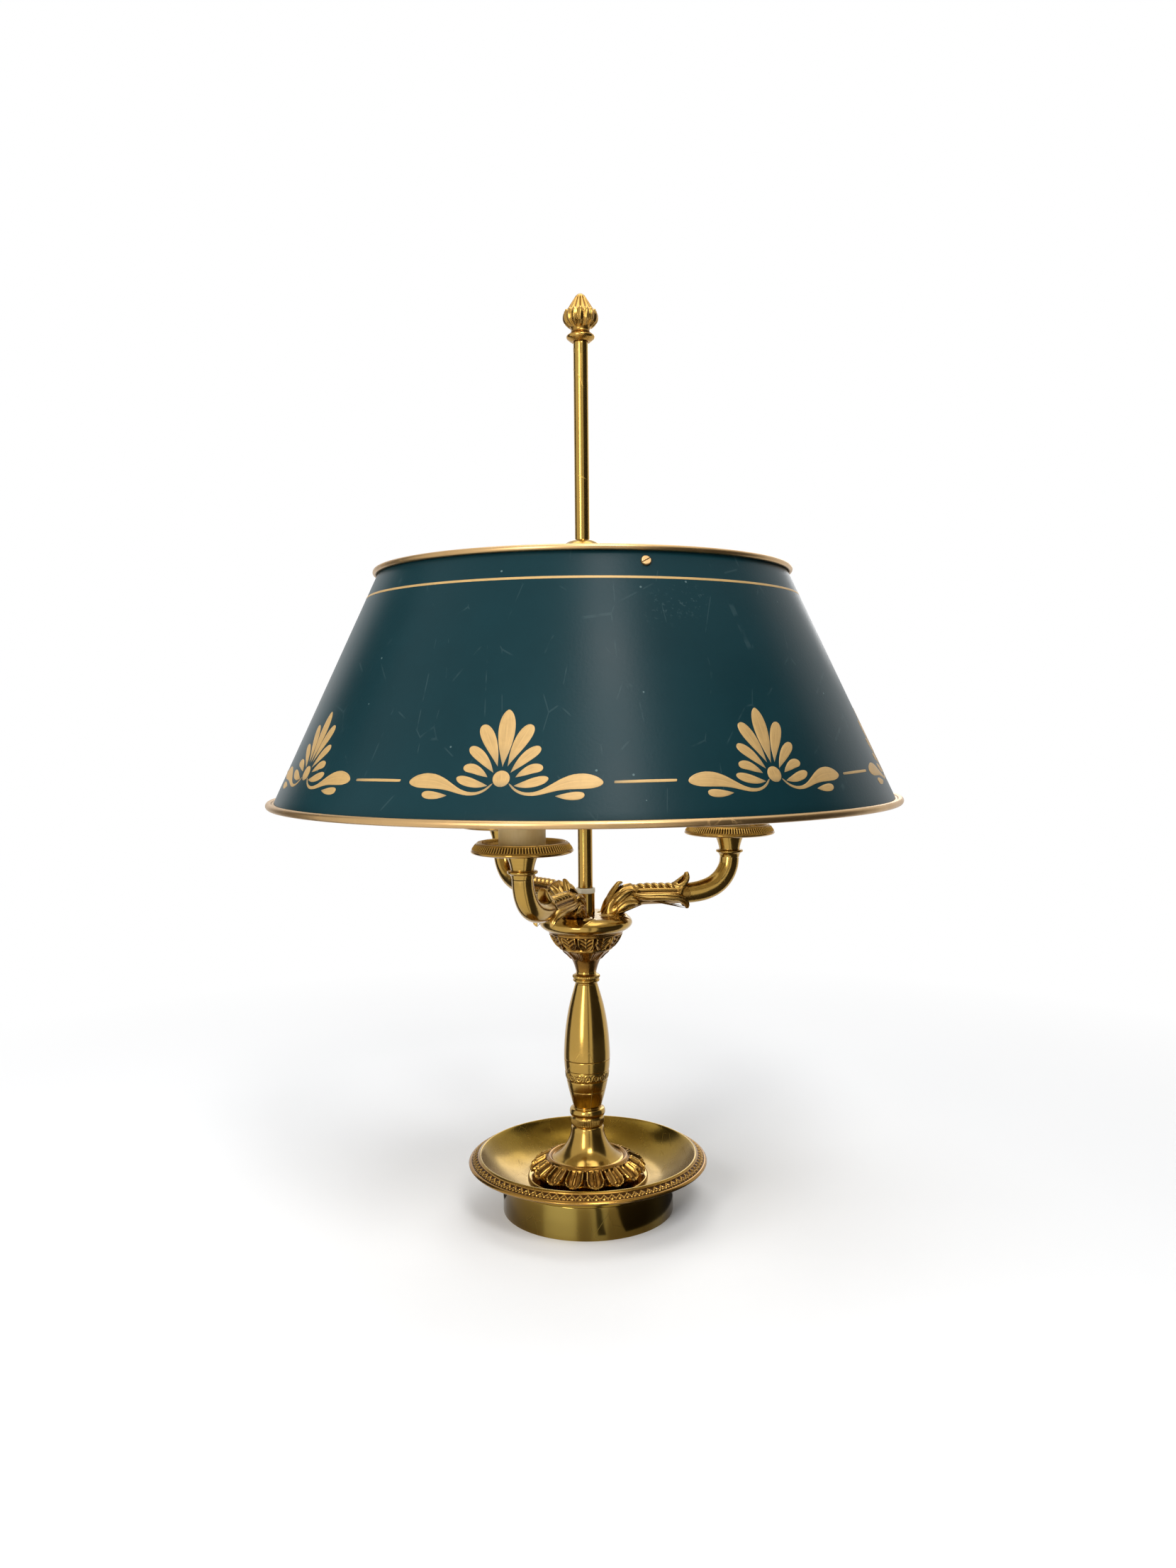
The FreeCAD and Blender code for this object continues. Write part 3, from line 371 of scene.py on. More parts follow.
def hairline_group():
    """Fine polishing lines drawn out across one direction, and scattered longer scratches where
    the edges of stretched cells come close."""
    if "Hairlines" in bpy.data.node_groups:
        return bpy.data.node_groups["Hairlines"]
    tree, given, out = group("Hairlines", (
        ("Stretch", "NodeSocketVector", (60.0, 60.0, 1600.0)), ("Scratches", NUMBER, 120.0),
        ("Width", NUMBER, 0.012)), (("Height", NUMBER), ("Mask", NUMBER)))
    place = node(tree, "ShaderNodeTexCoord").outputs["Object"]
    drawn = node(tree, "ShaderNodeVectorMath", {0: place, 1: given.outputs["Stretch"]},
                 operation="MULTIPLY").outputs[0]
    lines = node(tree, "ShaderNodeTexNoise", {"Vector": drawn, "Scale": 1.0, "Detail": 3.0}).outputs["Fac"]
    bent = node(tree, "ShaderNodeMapping", {"Vector": place, "Rotation": (0.6, 0.9, 0.4),
                                           "Scale": (1.0, 0.18, 0.5)}).outputs[0]
    cells = node(tree, "ShaderNodeTexVoronoi", {"Vector": bent, "Scale": given.outputs["Scratches"]},
                 feature="DISTANCE_TO_EDGE").outputs["Distance"]
    thin = maths(tree, "LESS_THAN", cells, given.outputs["Width"])
    some = ramped(tree, clouds(tree, 70.0, 2.0), 0.52, 0.60)
    mask = maths(tree, "MULTIPLY", thin, some)
    height = maths(tree, "SUBTRACT", lines, maths(tree, "MULTIPLY", mask, 0.8))
    tree.links.new(height, out.inputs["Height"])
    tree.links.new(mask, out.inputs["Mask"])
    return tree


def speck_group():
    """Small round specks: the middles of a few random cells of a Voronoi pattern."""
    if "Specks" in bpy.data.node_groups:
        return bpy.data.node_groups["Specks"]
    tree, given, out = group("Specks", (
        ("Scale", NUMBER, 200.0), ("Size", NUMBER, 0.12), ("Share", NUMBER, 0.06)),
        (("Mask", NUMBER),))
    place = node(tree, "ShaderNodeTexCoord").outputs["Object"]
    cells = node(tree, "ShaderNodeTexVoronoi", {"Vector": place, "Scale": given.outputs["Scale"]})
    picked = node(tree, "ShaderNodeSeparateColor", {0: cells.outputs["Color"]}).outputs[0]
    near = maths(tree, "LESS_THAN", cells.outputs["Distance"], given.outputs["Size"])
    few = maths(tree, "LESS_THAN", picked, given.outputs["Share"])
    tree.links.new(maths(tree, "MULTIPLY", near, few), out.inputs["Mask"])
    return tree


def finish(name, build, **sockets):
    """Material with one Principled shader: plain numbers go on its sockets, build adds the rest."""
    if name in bpy.data.materials:
        return bpy.data.materials[name]
    made = bpy.data.materials.new(name)
    made.use_nodes = True
    tree = made.node_tree
    shader = tree.nodes["Principled BSDF"]
    for key, value in sockets.items():
        shader.inputs[key.replace("_", " ")].default_value = value
    build(tree, shader)
    return made


def full(colour):
    """The colour with full opacity."""
    return (*colour[:3], 1.0)


def coat(tree, shader, colour, rough):
    """Links a material's colour and roughness."""
    tree.links.new(colour, shader.inputs["Base Color"])
    tree.links.new(rough, shader.inputs["Roughness"])


def bump(tree, shader, height, strength, distance):
    """Relief from a height, shallower than distance in metres."""
    made = node(tree, "ShaderNodeBump", {"Height": height, "Strength": strength, "Distance": distance})
    tree.links.new(made.outputs[0], shader.inputs["Normal"])


# How far round the drum each band of painted reflection stands, and how bright it is.
PAINTED_REFLECTION_BANDS = ((0.00, 0.0), (0.07, 0.5), (0.10, 0.1), (0.19, 0.0), (0.24, 0.7), (0.30, 0.2), (0.38, 0.0),
               (0.45, 0.6), (0.49, 0.1), (0.585, 0.0), (0.655, 0.12), (0.675, 0.75), (0.705, 1.0),
               (0.730, 0.45), (0.745, 0.1), (0.768, 0.5), (0.785, 0.05), (0.86, 0.0), (0.90, 0.4),
               (0.94, 0.0))


def map_share(tree):
    """How far along its first direction a place lies on the piece's map."""
    place = node(tree, "ShaderNodeTexCoord").outputs["UV"]
    return node(tree, "ShaderNodeSeparateXYZ", {0: place}).outputs[0]


def upright_bands(tree):
    """Mask of upright bands of painted reflection at set places round a turned piece, their sides wavering a
    little.
    """
    turn = map_share(tree)
    waver = maths(tree, "MULTIPLY", clouds(tree, 60.0, 3.0, stretch=(1.0, 1.0, 0.12)), 0.03)
    curve = node(tree, "ShaderNodeFloatCurve")
    points = curve.mapping.curves[0].points
    points[0].location, points[1].location = PAINTED_REFLECTION_BANDS[0], (1.0, 0.0)
    for place in PAINTED_REFLECTION_BANDS[1:]:
        points.new(*place)
    curve.mapping.update()
    moved = maths(tree, "ADD", turn, maths(tree, "SUBTRACT", waver, 0.015))
    tree.links.new(moved, curve.inputs["Value"])
    return curve.outputs[0]


EVEN_GRAIN = (300.0, 300.0, 300.0)


def metal(name, clean, bright, patina_and_shade, recess, cloudiness, edges, scale, smoothness, dull,
          stretch=(60.0, 60.0, 1600.0), scratches=120.0, relief=0.00002, reflection_bands=None):
    """Brass or steel: tarnish, with patina and painted shade in the recesses, for colour and roughness,
    hairlines for bump, and where a band colour is given, upright bands of it as painted reflections."""
    def build(tree, shader):
        aged = node(tree, "ShaderNodeGroup", node_tree=tarnish_and_shade_group())
        for key, value in (("Clean", full(clean)), ("Bright", full(bright)), ("Patina and shade", full(patina_and_shade)),
                           ("Recess", recess), ("Clouds", cloudiness), ("Edges", edges),
                           ("Scale", scale), ("Smooth", smoothness), ("Dull", dull)):
            aged.inputs[key].default_value = value
        lines = node(tree, "ShaderNodeGroup", node_tree=hairline_group())
        lines.inputs["Stretch"].default_value = stretch
        lines.inputs["Scratches"].default_value = scratches
        rough = maths(tree, "ADD", aged.outputs["Roughness"],
                      maths(tree, "MULTIPLY", lines.outputs["Mask"], 0.2), clamp=True)
        colour = aged.outputs["Color"]
        # Upright bands of painted reflection over the metal's colour.
        if reflection_bands is not None:
            colour = blended(tree, upright_bands(tree), colour, full(reflection_bands))
        coat(tree, shader, colour, rough)
        bump(tree, shader, lines.outputs["Height"], 0.15, relief)
    return finish(name, build, Metallic=1.0)


def polished_brass():
    """Bright brass of the turned pieces and of the arms' tubes."""
    brass = np.array(settings().brass_colour)
    return metal("polished brass", brass, np.minimum(brass * 1.18 + 0.03, 1.0), brass * (0.42, 0.34, 0.20),
                 1.1, 0.12, 0.5, 38.0, 0.16, 0.34, scratches=60.0, relief=0.00001)


def pan_brass():
    """Brass scoured round the pan."""
    brass = np.array(settings().brass_colour) * (0.74, 0.76, 0.56)
    return metal("scoured brass", brass, np.minimum(brass * 1.2 + 0.03, 1.0), brass * (0.45, 0.40, 0.22),
                 1.0, 0.4, 0.5, 30.0, 0.16, 0.36,
                 stretch=(500.0, 90.0, 300.0), scratches=160.0, relief=0.00004)


def drum_brass():
    """Brass darkened to about a quarter and greener, with bright upright bands of painted reflection."""
    bright = np.array(settings().brass_colour)
    brass = bright * (0.26, 0.25, 0.17)
    return metal("drum brass", brass, bright, brass * (0.30, 0.27, 0.25), 1.0, 0.6, 0.6, 16.0, 0.12, 0.28,
                 stretch=(700.0, 700.0, 60.0), scratches=90.0, reflection_bands=bright * (0.90, 1.05, 1.1))


def milled_brass():
    """Antique brass with a brighter polish on its high lines and patina with painted shade in its hollows,
    for the drip rings.
    """
    bright = np.array(settings().brass_colour)
    return metal("milled brass", bright * (0.66, 0.56, 0.46), bright * (1.5, 1.5, 1.7),
                 settings().patina_and_shade_colour, 2.6, 0.2, 1.6, 60.0, 0.10, 0.34,
                 stretch=EVEN_GRAIN, relief=0.00003)


def antique_brass():
    """Cast brass with brown patina and painted shade in its hollows."""
    bright = np.array(settings().brass_colour)
    return metal("antique brass", bright * (0.62, 0.50, 0.42), bright * (1.12, 1.08, 1.1),
                 settings().patina_and_shade_colour, 1.9, 0.14, 1.1, 60.0, 0.20, 0.46,
                 stretch=EVEN_GRAIN, relief=0.00005)


def antique_gilt():
    """Worn gilding on the finial."""
    brass = np.array(settings().brass_colour)
    return metal("worn gilt", brass * (0.98, 0.90, 0.85), np.minimum(brass * 1.25 + 0.03, 1.0),
                 settings().patina_and_shade_colour, 1.4, 0.12, 1.2, 70.0, 0.22, 0.5, stretch=EVEN_GRAIN)


def arm_gilt():
    """Darker gilding on the arms' leaves."""
    brass = np.array(settings().brass_colour)
    return metal("cast gilt", brass * (0.80, 0.70, 0.62), np.minimum(brass * 1.2 + 0.02, 1.0),
                 settings().patina_and_shade_colour, 1.4, 0.15, 1.0, 70.0, 0.24, 0.5, stretch=EVEN_GRAIN)


def satin_gold():
    """Brushed gilt of the rims and the spider."""
    gold = np.array(settings().gold_colour) * (1.08, 1.10, 1.35)
    return metal("satin gold", gold, np.minimum(gold * 1.2, 1.0), gold * (0.4, 0.33, 0.25),
                 1.0, 0.25, 0.4, 50.0, 0.34, 0.5, stretch=(200.0, 200.0, 900.0))


def bright_steel():
    """Plain zinc-bright steel of the small fittings."""
    return metal("zinc steel", (0.55, 0.56, 0.57), (0.75, 0.75, 0.75), (0.18, 0.17, 0.15),
                 0.8, 0.35, 0.4, 80.0, 0.28, 0.5, stretch=(300.0, 300.0, 600.0))


def cast_iron():
    """Rough dark iron of the weight."""
    return metal("cast iron", (0.12, 0.115, 0.11), (0.25, 0.24, 0.23), (0.09, 0.04, 0.02),
                 0.8, 0.5, 0.3, 60.0, 0.55, 0.8, stretch=(500.0, 500.0, 500.0), relief=0.0003)


def shade_lacquer():
    """Deep petrol lacquer: faint darker clouds, fine orange peel, light specks and scuffs."""
    def build(tree, shader):
        base = np.array(settings().shade_colour)
        soft = clouds(tree, 14.0, 5.0)
        colour = blended(tree, ramped(tree, soft, 0.3, 0.7), full(base * 0.90), full(base * 1.12))
        specks = node(tree, "ShaderNodeGroup", node_tree=speck_group())
        for key, value in (("Scale", 170.0), ("Size", 0.10), ("Share", 0.05)):
            specks.inputs[key].default_value = value
        scuffs = node(tree, "ShaderNodeGroup", node_tree=hairline_group())
        scuffs.inputs["Scratches"].default_value = 42.0
        scuffs.inputs["Width"].default_value = 0.010
        rubbed = ramped(tree, clouds(tree, 9.0, 2.0), 0.66, 0.72)
        grit = ramped(tree, clouds(tree, 420.0, 2.0, 0.7), 0.58, 0.68)
        scuff = maths(tree, "MULTIPLY", maths(tree, "MULTIPLY", rubbed, grit), 0.14)
        marks = maths(tree, "ADD", maths(tree, "MULTIPLY", specks.outputs["Mask"], 0.35),
                      maths(tree, "MULTIPLY", scuffs.outputs["Mask"], 0.05), clamp=True)
        marks = maths(tree, "ADD", marks, scuff, clamp=True)
        colour = blended(tree, marks, colour, (0.22, 0.32, 0.32, 1.0))
        fine = clouds(tree, 700.0, 2.0)
        rough = maths(tree, "ADD", ramped(tree, soft, 0.3, 0.7, 0.30, 0.36),
                      maths(tree, "MULTIPLY", marks, 0.2))
        coat(tree, shader, colour, rough)
        bump(tree, shader, fine, 0.12, 0.0003)
    return finish("petrol lacquer", build, Specular_IOR_Level=0.11)


def gold_strokes():
    """Gold paint laid with a brush: streaks along the stroke, thin and broken at its tip, where
    the lacquer shows through."""
    def build(tree, shader):
        gold = np.array(settings().gold_colour)
        streaks = clouds(tree, 1.0, 3.0, stretch=(3.0, 34.0, 1.0), source="UV")
        mottled = clouds(tree, 260.0, 4.0)
        colour = blended(tree, ramped(tree, streaks, 0.3, 0.7), full(gold * 0.82), full(gold * 1.10))
        colour = blended(tree, maths(tree, "MULTIPLY", ramped(tree, mottled, 0.5, 0.8), 0.35),
                         colour, full(gold * (0.62, 0.58, 0.5)))
        tip = ramped(tree, map_share(tree), 0.0, 0.42, 0.62, 0.0)
        broken = maths(tree, "MULTIPLY", tip, ramped(tree, streaks, 0.42, 0.6, 0.5, 1.3), clamp=True)
        lacquer = full(np.array(settings().shade_colour) * 1.6)
        colour = blended(tree, broken, colour, lacquer)
        coat(tree, shader, colour, ramped(tree, streaks, 0.3, 0.7, 0.40, 0.55))
        bump(tree, shader, streaks, 0.25, 0.0002)
    return finish("gold paint", build, Metallic=0.2)


def lining_paint():
    """Paint on the inside of the cone."""
    def build(tree, shader):
        base = np.array(settings().lining_colour)
        soft = clouds(tree, 22.0, 5.0)
        warm = blended(tree, ramped(tree, soft, 0.35, 0.7), full(base), full(base * (0.92, 0.86, 0.74)))
        coat(tree, shader, warm, ramped(tree, soft, 0.3, 0.7, 0.5, 0.6))
        bump(tree, shader, clouds(tree, 600.0, 2.0), 0.12, 0.0003)
    return finish("lining paint", build)


def candle_card():
    """Ivory card: fibres drawn out upwards, warm ageing in clouds."""
    def build(tree, shader):
        # The card colour carries painted shade from the shade above the sleeves.
        base = np.array(settings().shaded_candle_colour)
        fibre = clouds(tree, 1.0, 4.0, stretch=(900.0, 900.0, 120.0))
        aged = clouds(tree, 60.0, 5.0)
        colour = blended(tree, ramped(tree, aged, 0.35, 0.75), full(base), full(base * (0.86, 0.76, 0.60)))
        colour = blended(tree, maths(tree, "MULTIPLY", ramped(tree, fibre, 0.5, 0.75), 0.3), colour,
                         full(base * (0.8, 0.7, 0.55)))
        coat(tree, shader, colour, ramped(tree, fibre, 0.3, 0.7, 0.50, 0.62))
        bump(tree, shader, fibre, 0.2, 0.0001)
    return finish("ivory card", build, Subsurface_Weight=0.08, Subsurface_Scale=0.002)


def moulded(name, base, worn, roughness, relief=0.0001):
    """Moulded plastic, rubber or sleeving: faint clouds, dust on it and a fine grain."""
    def build(tree, shader):
        soft = clouds(tree, 90.0, 4.0)
        fine = clouds(tree, 500.0, 3.0)
        dusty = blended(tree, ramped(tree, soft, 0.45, 0.8), full(base), full(worn))
        coat(tree, shader, dusty, ramped(tree, fine, 0.3, 0.7, roughness, roughness + 0.12))
        bump(tree, shader, fine, 0.2, relief)
    return finish(name, build)


def cream_plastic():
    """Plastic ring round the rod's foot."""
    return moulded("cream plastic", (0.80, 0.75, 0.60), (0.66, 0.58, 0.42), 0.38)


def holder_plastic():
    """Dark moulding of the lampholders."""
    return moulded("holder plastic", (0.028, 0.026, 0.025), (0.06, 0.055, 0.05), 0.34)


def black_rubber():
    """Rubber of the inlet bush."""
    return moulded("black rubber", (0.018, 0.018, 0.018), (0.05, 0.048, 0.045), 0.55, 0.0002)


def wire_sleeving():
    """Sleeving of the wires in the arms."""
    return moulded("wire sleeving", (0.50, 0.44, 0.30), (0.36, 0.30, 0.19), 0.45)


def green_felt():
    """Pressed wool: short fibres in all directions, fluffy and matt."""
    def build(tree, shader):
        fibre = clouds(tree, 1.0, 6.0, 0.7, stretch=(1400.0, 1400.0, 1400.0))
        soft = clouds(tree, 120.0, 4.0)
        colour = blended(tree, ramped(tree, fibre, 0.3, 0.7),
                         (0.012, 0.045, 0.022, 1), (0.035, 0.10, 0.055, 1))
        colour = blended(tree, maths(tree, "MULTIPLY", ramped(tree, soft, 0.5, 0.8), 0.3), colour,
                         (0.06, 0.10, 0.07, 1))
        tree.links.new(colour, shader.inputs["Base Color"])
        bump(tree, shader, fibre, 0.8, 0.0004)
    return finish("green felt", build, Roughness=0.95, Sheen_Weight=0.3)


# Column and base

def stacked(points, foot, bore=BORE_R, radius=0.25, step=1.5, fine=None):
    """Closed outline of a piece threaded on the pipe: its outer points raised to its foot, closed
    along the bore."""
    p = np.asarray(points, float) + (0.0, foot)
    loop = np.vstack([[(bore, p[0, 1])], p, [(bore, p[-1, 1])]])
    return refined(softened(loop, radius, step), fine)


def refined(outline, fine):
    """Divides the runs of a closed outline whose middle lies in the box fine = (r0, z0, r1, z1)
    so that none there is longer than its fifth value."""
    if fine is None:
        return outline
    ahead = np.roll(outline, -1, 0)
    mid = (outline + ahead) / 2
    r0, z0, r1, z1, step = fine
    inside = (mid[:, 0] > r0) & (mid[:, 0] < r1) & (mid[:, 1] > z0) & (mid[:, 1] < z1)
    length = np.linalg.norm(ahead - outline, axis=1)
    n = np.where(inside, np.maximum(1, np.ceil(length / step)), 1).astype(int)
    i = np.repeat(np.arange(len(outline)), n)
    f = (np.arange(len(i)) - np.repeat(np.cumsum(n) - n, n)) / np.repeat(n, n)
    return outline[i] + (ahead[i] - outline[i]) * f[:, None]


def share(angle, count, first=0.0):
    """Place within one of count equal sectors: -1 and 1 at its sides, 0 in its middle."""
    turn = (angle - first) * count / (2 * np.pi)
    return 2 * (turn - np.round(turn))


DRUM = ((52.9, 0.0), (52.9, 19.9), (49.6, 19.9), (49.6, 18.4), (51.4, 18.4), (51.4, 0.0))
PAN_CENTRE = (38.0, 51.86)
PAN_IN_R, PAN_OUT_R = 32.8, 34.0
PAN_BORDER = ((67.3, 31.9), (71.9, 29.4), (73.2, 29.6), (74.1, 30.7), (73.3, 31.6), (67.9, 34.75),
              (67.2, 35.35), (66.5, 35.35))
PAN_UNITS = 96


def pan_arc(radius, low, high, count):
    """Points of the dish's round section between two angles in degrees."""
    a = np.radians(np.linspace(low, high, count))
    return np.stack([PAN_CENTRE[0] + radius * np.cos(a), PAN_CENTRE[1] + radius * np.sin(a)], 1)


def pan_border_relief(a, r, z):
    """Chevrons and beads along the sloping border, in a sunk band between two fine lines."""
    v = (r - 68.6) / 3.9
    on = band(v, 0.0, 1.0, 0.08) * (z > 31.0)
    u = share(a, PAN_UNITS)
    chevron = np.exp(-((v - 0.18 - 0.55 * np.abs(u)) / 0.12) ** 2)
    beads = np.exp(-(u / 0.36) ** 2 - ((v - 0.72) / 0.15) ** 2)
    return on * (0.62 * chevron + 0.62 * beads - 0.42)


class LAMP_OT_base(bpy.types.Operator):
    """Turn the drum under the pan and the drip pan with its chased border."""
    bl_idname = "lamp.base"
    bl_label = "Drum and drip pan"

    def execute(self, context):
        drum = softened(DRUM, 0.35, 2.0)
        piece("drum_wall", [shell(turned(drum, 256))], [drum_brass()], "stand",
              ["base_drum"])
        seat = [(49.6, 19.9), (52.9, 19.9), (52.95, 21.3)]
        dish = np.vstack([[(BORE_R, 17.86)], pan_arc(PAN_OUT_R, -90, -70.1, 8), seat,
                          pan_arc(PAN_OUT_R, -62, -36, 12), PAN_BORDER,
                          pan_arc(PAN_IN_R, -31.05, -90, 28), [(BORE_R, 19.06)]])
        dish = refined(softened(dish, 0.3, 3.0), (67.6, 31.2, 73.6, 35.0, 0.33))
        pan = shell(turned(dish, PAN_UNITS * 6, pan_border_relief))
        centre = pan["points"][pan["faces"]].mean(1)
        r = np.hypot(centre[:, 0], centre[:, 1])
        pan["finish"] = np.where((r > 67.7) & (centre[:, 2] > 29.0), 1, 0)
        piece("drip_pan_chased", [pan], [pan_brass(), antique_brass()], "stand",
              ["drip_pan"])
        return {"FINISHED"}


LEAF_COLLAR = ((28.2, 0), (29.6, 1.6), (33.4, 2.6), (35.0, 3.6), (35.0, 4.6), (33.8, 5.6), (31.2, 7.4),
               (28.2, 9.0), (25.6, 10.8), (24.8, 11.6), (24.0, 12.1), (23.2, 11.8), (22.4, 10.8),
               (22.3, 9.3))
LEAF_COLLAR_Z, LEAF_COLLAR_TOP, LEAF_COLLAR_BORE_R, FLARED_FOOT_Z = 21.06, 30.36, 20.0, 30.46
LEAVES = 16
LEAF_FIRST = math.radians(-82.3)


def leaf_collar_relief(a, r, z):
    """Overlapping leaves: each a bowl inside a raised U-shaped rim with a rib down its middle,
    small leaves between their tips, and a deep valley round both."""
    u = share(a, LEAVES, LEAF_FIRST)
    t = (z - 24.3) / 7.6
    top = smooth(z, 24.0, 24.8)
    q = np.clip((t - 0.04) / 0.42, 0.0, 1.0)
    half = 0.74 * np.sqrt(q * (2 - q)) + 0.03
    d = np.abs(u) - half
    rim = np.exp(-(d / 0.15) ** 4)
    bowl = (1 - smooth(d, -0.2, 0.0)) * (-0.1 - 0.5 * (1 - np.clip(np.abs(u) / half, 0, 1) ** 2))
    rib = np.exp(-(u / 0.10) ** 2) * smooth(t, 0.15, 0.3)
    veins = 0.02 * np.cos((t * 7 - np.abs(u) * 4) * np.pi) * (1 - smooth(d, -0.3, -0.1))
    other = 1 - np.abs(u)
    small = 0.30 * np.sqrt(np.clip(t / 0.25, 0, 1)) * (1 - smooth(t, 0.35, 0.6))
    between = np.exp(-((other - small) / 0.09) ** 2) * (1 - smooth(t, 0.4, 0.65))
    valley = smooth(d, 0.0, 0.2) * (1 - 0.6 * (other < small))
    fade = 1 - smooth(t, 0.86, 1.0)
    chased = top * fade * (1.2 * rim + 1.9 * bowl + 1.0 * rib + veins + 0.7 * between - 1.5 * valley)
    scallop = smooth(r, 31.0, 34.6) * smooth(np.abs(u), 0.45, 0.95)
    return chased - 0.9 * scallop


FLARED_FOOT = ((22.3, 0), (22.3, 1.6), (21.0, 2.0), (17.6, 4.6), (14.8, 7.6), (12.7, 10.8), (11.3, 14),
               (10.4, 17.4), (9.95, 20.6), (9.25, 21.5))
FOOT_RING = ((9.3, 0), (10.2, 0.9), (10.2, 5.6), (9.5, 6.2), (10.5, 6.8), (11.05, 8.0), (11.1, 8.9),
             (10.9, 10.2), (10.4, 11.0), (8.9, 11.4), (8.9, 11.9))
NECK_RING = ((6.9, 0), (6.9, 0.9), (7.7, 1.3), (8.25, 1.9), (8.3, 2.6), (7.6, 3.35), (8.3, 3.9),
             (8.5, 4.6), (8.2, 5.3), (7.4, 5.8), (6.3, 6.4), (6.3, 7.8))
FOOT_RING_Z, NECK_RING_Z = 51.96, 140.76
BEADS, NECK_BEADS = 60, 48


def foot_ring_relief(a, r, z):
    """Upright beads round the ring's lower band."""
    dz = z - FOOT_RING_Z
    return 0.16 * np.cos(a * BEADS) * band(dz, 1.6, 4.9, 0.5) * (r > 9.9) + groove(dz, 5.6, 0.5, 0.15)


def neck_ring_relief(a, r, z):
    """Upright beads round the ring's upper band."""
    dz = z - NECK_RING_Z
    return 0.10 * np.cos(a * NECK_BEADS) * band(dz, 3.9, 5.4, 0.6) * (r > 7.6)


class LAMP_OT_foot(bpy.types.Operator):
    """Shape the leaf collar, the flared foot and the rings above and below the vase."""
    bl_idname = "lamp.foot"
    bl_label = "Foot and rings"

    def execute(self, context):
        collar = np.vstack([[(LEAF_COLLAR_BORE_R, LEAF_COLLAR_Z)],
                            np.asarray(LEAF_COLLAR) + (0, LEAF_COLLAR_Z),
                            [(LEAF_COLLAR_BORE_R, LEAF_COLLAR_TOP)]])
        collar = refined(softened(collar, 0.25, 1.2), (24.0, 23.0, 35.5, 33.0, 0.30))
        piece("leaf_collar_cast", [shell(turned(collar, 576, leaf_collar_relief), reach=0.5)],
              [antique_brass()], "stand", ["leaf_collar"])
        foot = np.vstack([FLARED_FOOT[:2], through(FLARED_FOOT[2:9], 26), FLARED_FOOT[9:]])
        piece("flared_foot_turned", [shell(turned(stacked(foot, FLARED_FOOT_Z), 192))], [polished_brass()],
              "stand", ["flared_foot"])
        ring = stacked(FOOT_RING, FOOT_RING_Z, fine=(9.0, 52.5, 12.0, 63.0, 0.4))
        piece("foot_ring_beaded", [shell(turned(ring, BEADS * 6, foot_ring_relief))], [polished_brass()],
              "stand", ["foot_ring"])
        ring = stacked(NECK_RING, NECK_RING_Z, fine=(6.5, 141.0, 9.0, 148.0, 0.35))
        piece("neck_ring_beaded", [shell(turned(ring, NECK_BEADS * 6, neck_ring_relief))],
              [polished_brass()], "stand", ["neck_ring"])
        return {"FINISHED"}


VASE_Z, VASE_H, VASE_R = 63.86, 76.9, 14.3
VASE = ((0.60, 0), (0.78, 0.12), (0.94, 0.27), (1.0, 0.40), (0.985, 0.50), (0.92, 0.64), (0.765, 0.81),
        (0.486, 1.0))
ROSETTES = 16
ROSETTE_Z = 84.0


def vase_relief(a, r, z):
    """Four fine grooves, and between two of them a row of rosettes: each a ring of petals round a
    bead, with dots above and below the places where they meet."""
    cut = groove(z, 94.0, 0.5, 0.30) + groove(z, 87.1, 0.5, 0.30) + groove(z, 80.9, 0.5, 0.30)
    cut = cut + groove(z, 74.4, 0.5, 0.30)
    u = share(a, ROSETTES, math.radians(-90)) * np.pi * r / ROSETTES
    d = np.hypot(u, z - ROSETTE_Z)
    petals = np.cos(6 * np.arctan2(z - ROSETTE_Z, u))
    flower = 0.30 * np.exp(-((d - 1.85) / 0.36) ** 2) + 0.32 * np.exp(-(d / 0.55) ** 2)
    flower = flower + 0.14 * petals * np.exp(-((d - 1.15) / 0.4) ** 2)
    gap = share(a, ROSETTES, math.radians(-90) + np.pi / ROSETTES) * np.pi * r / ROSETTES
    dots = 0.22 * np.exp(-((np.hypot(gap, np.abs(z - ROSETTE_Z) - 1.7)) / 0.45) ** 2)
    on = band(z, 81.2, 86.8, 0.4)
    return (cut + on * (flower + dots - 0.12)) * (r > 8.0)


CUP_Z = 148.56
CUP = ((6.3, 0), (7.4, 4.0), (8.9, 7.4), (11.6, 10.8), (15.8, 14.2), (19.0, 17.8), (21.3, 21.3),
       (22.9, 25.2))
CUP_LEAVES = 12
COVER_Z = 174.56
COVER = ((24.6, 0), (26.9, 1.4), (28.3, 2.9), (28.75, 4.6), (28.3, 6.2), (26.9, 7.6), (24.6, 8.8),
         (22.0, 9.2))


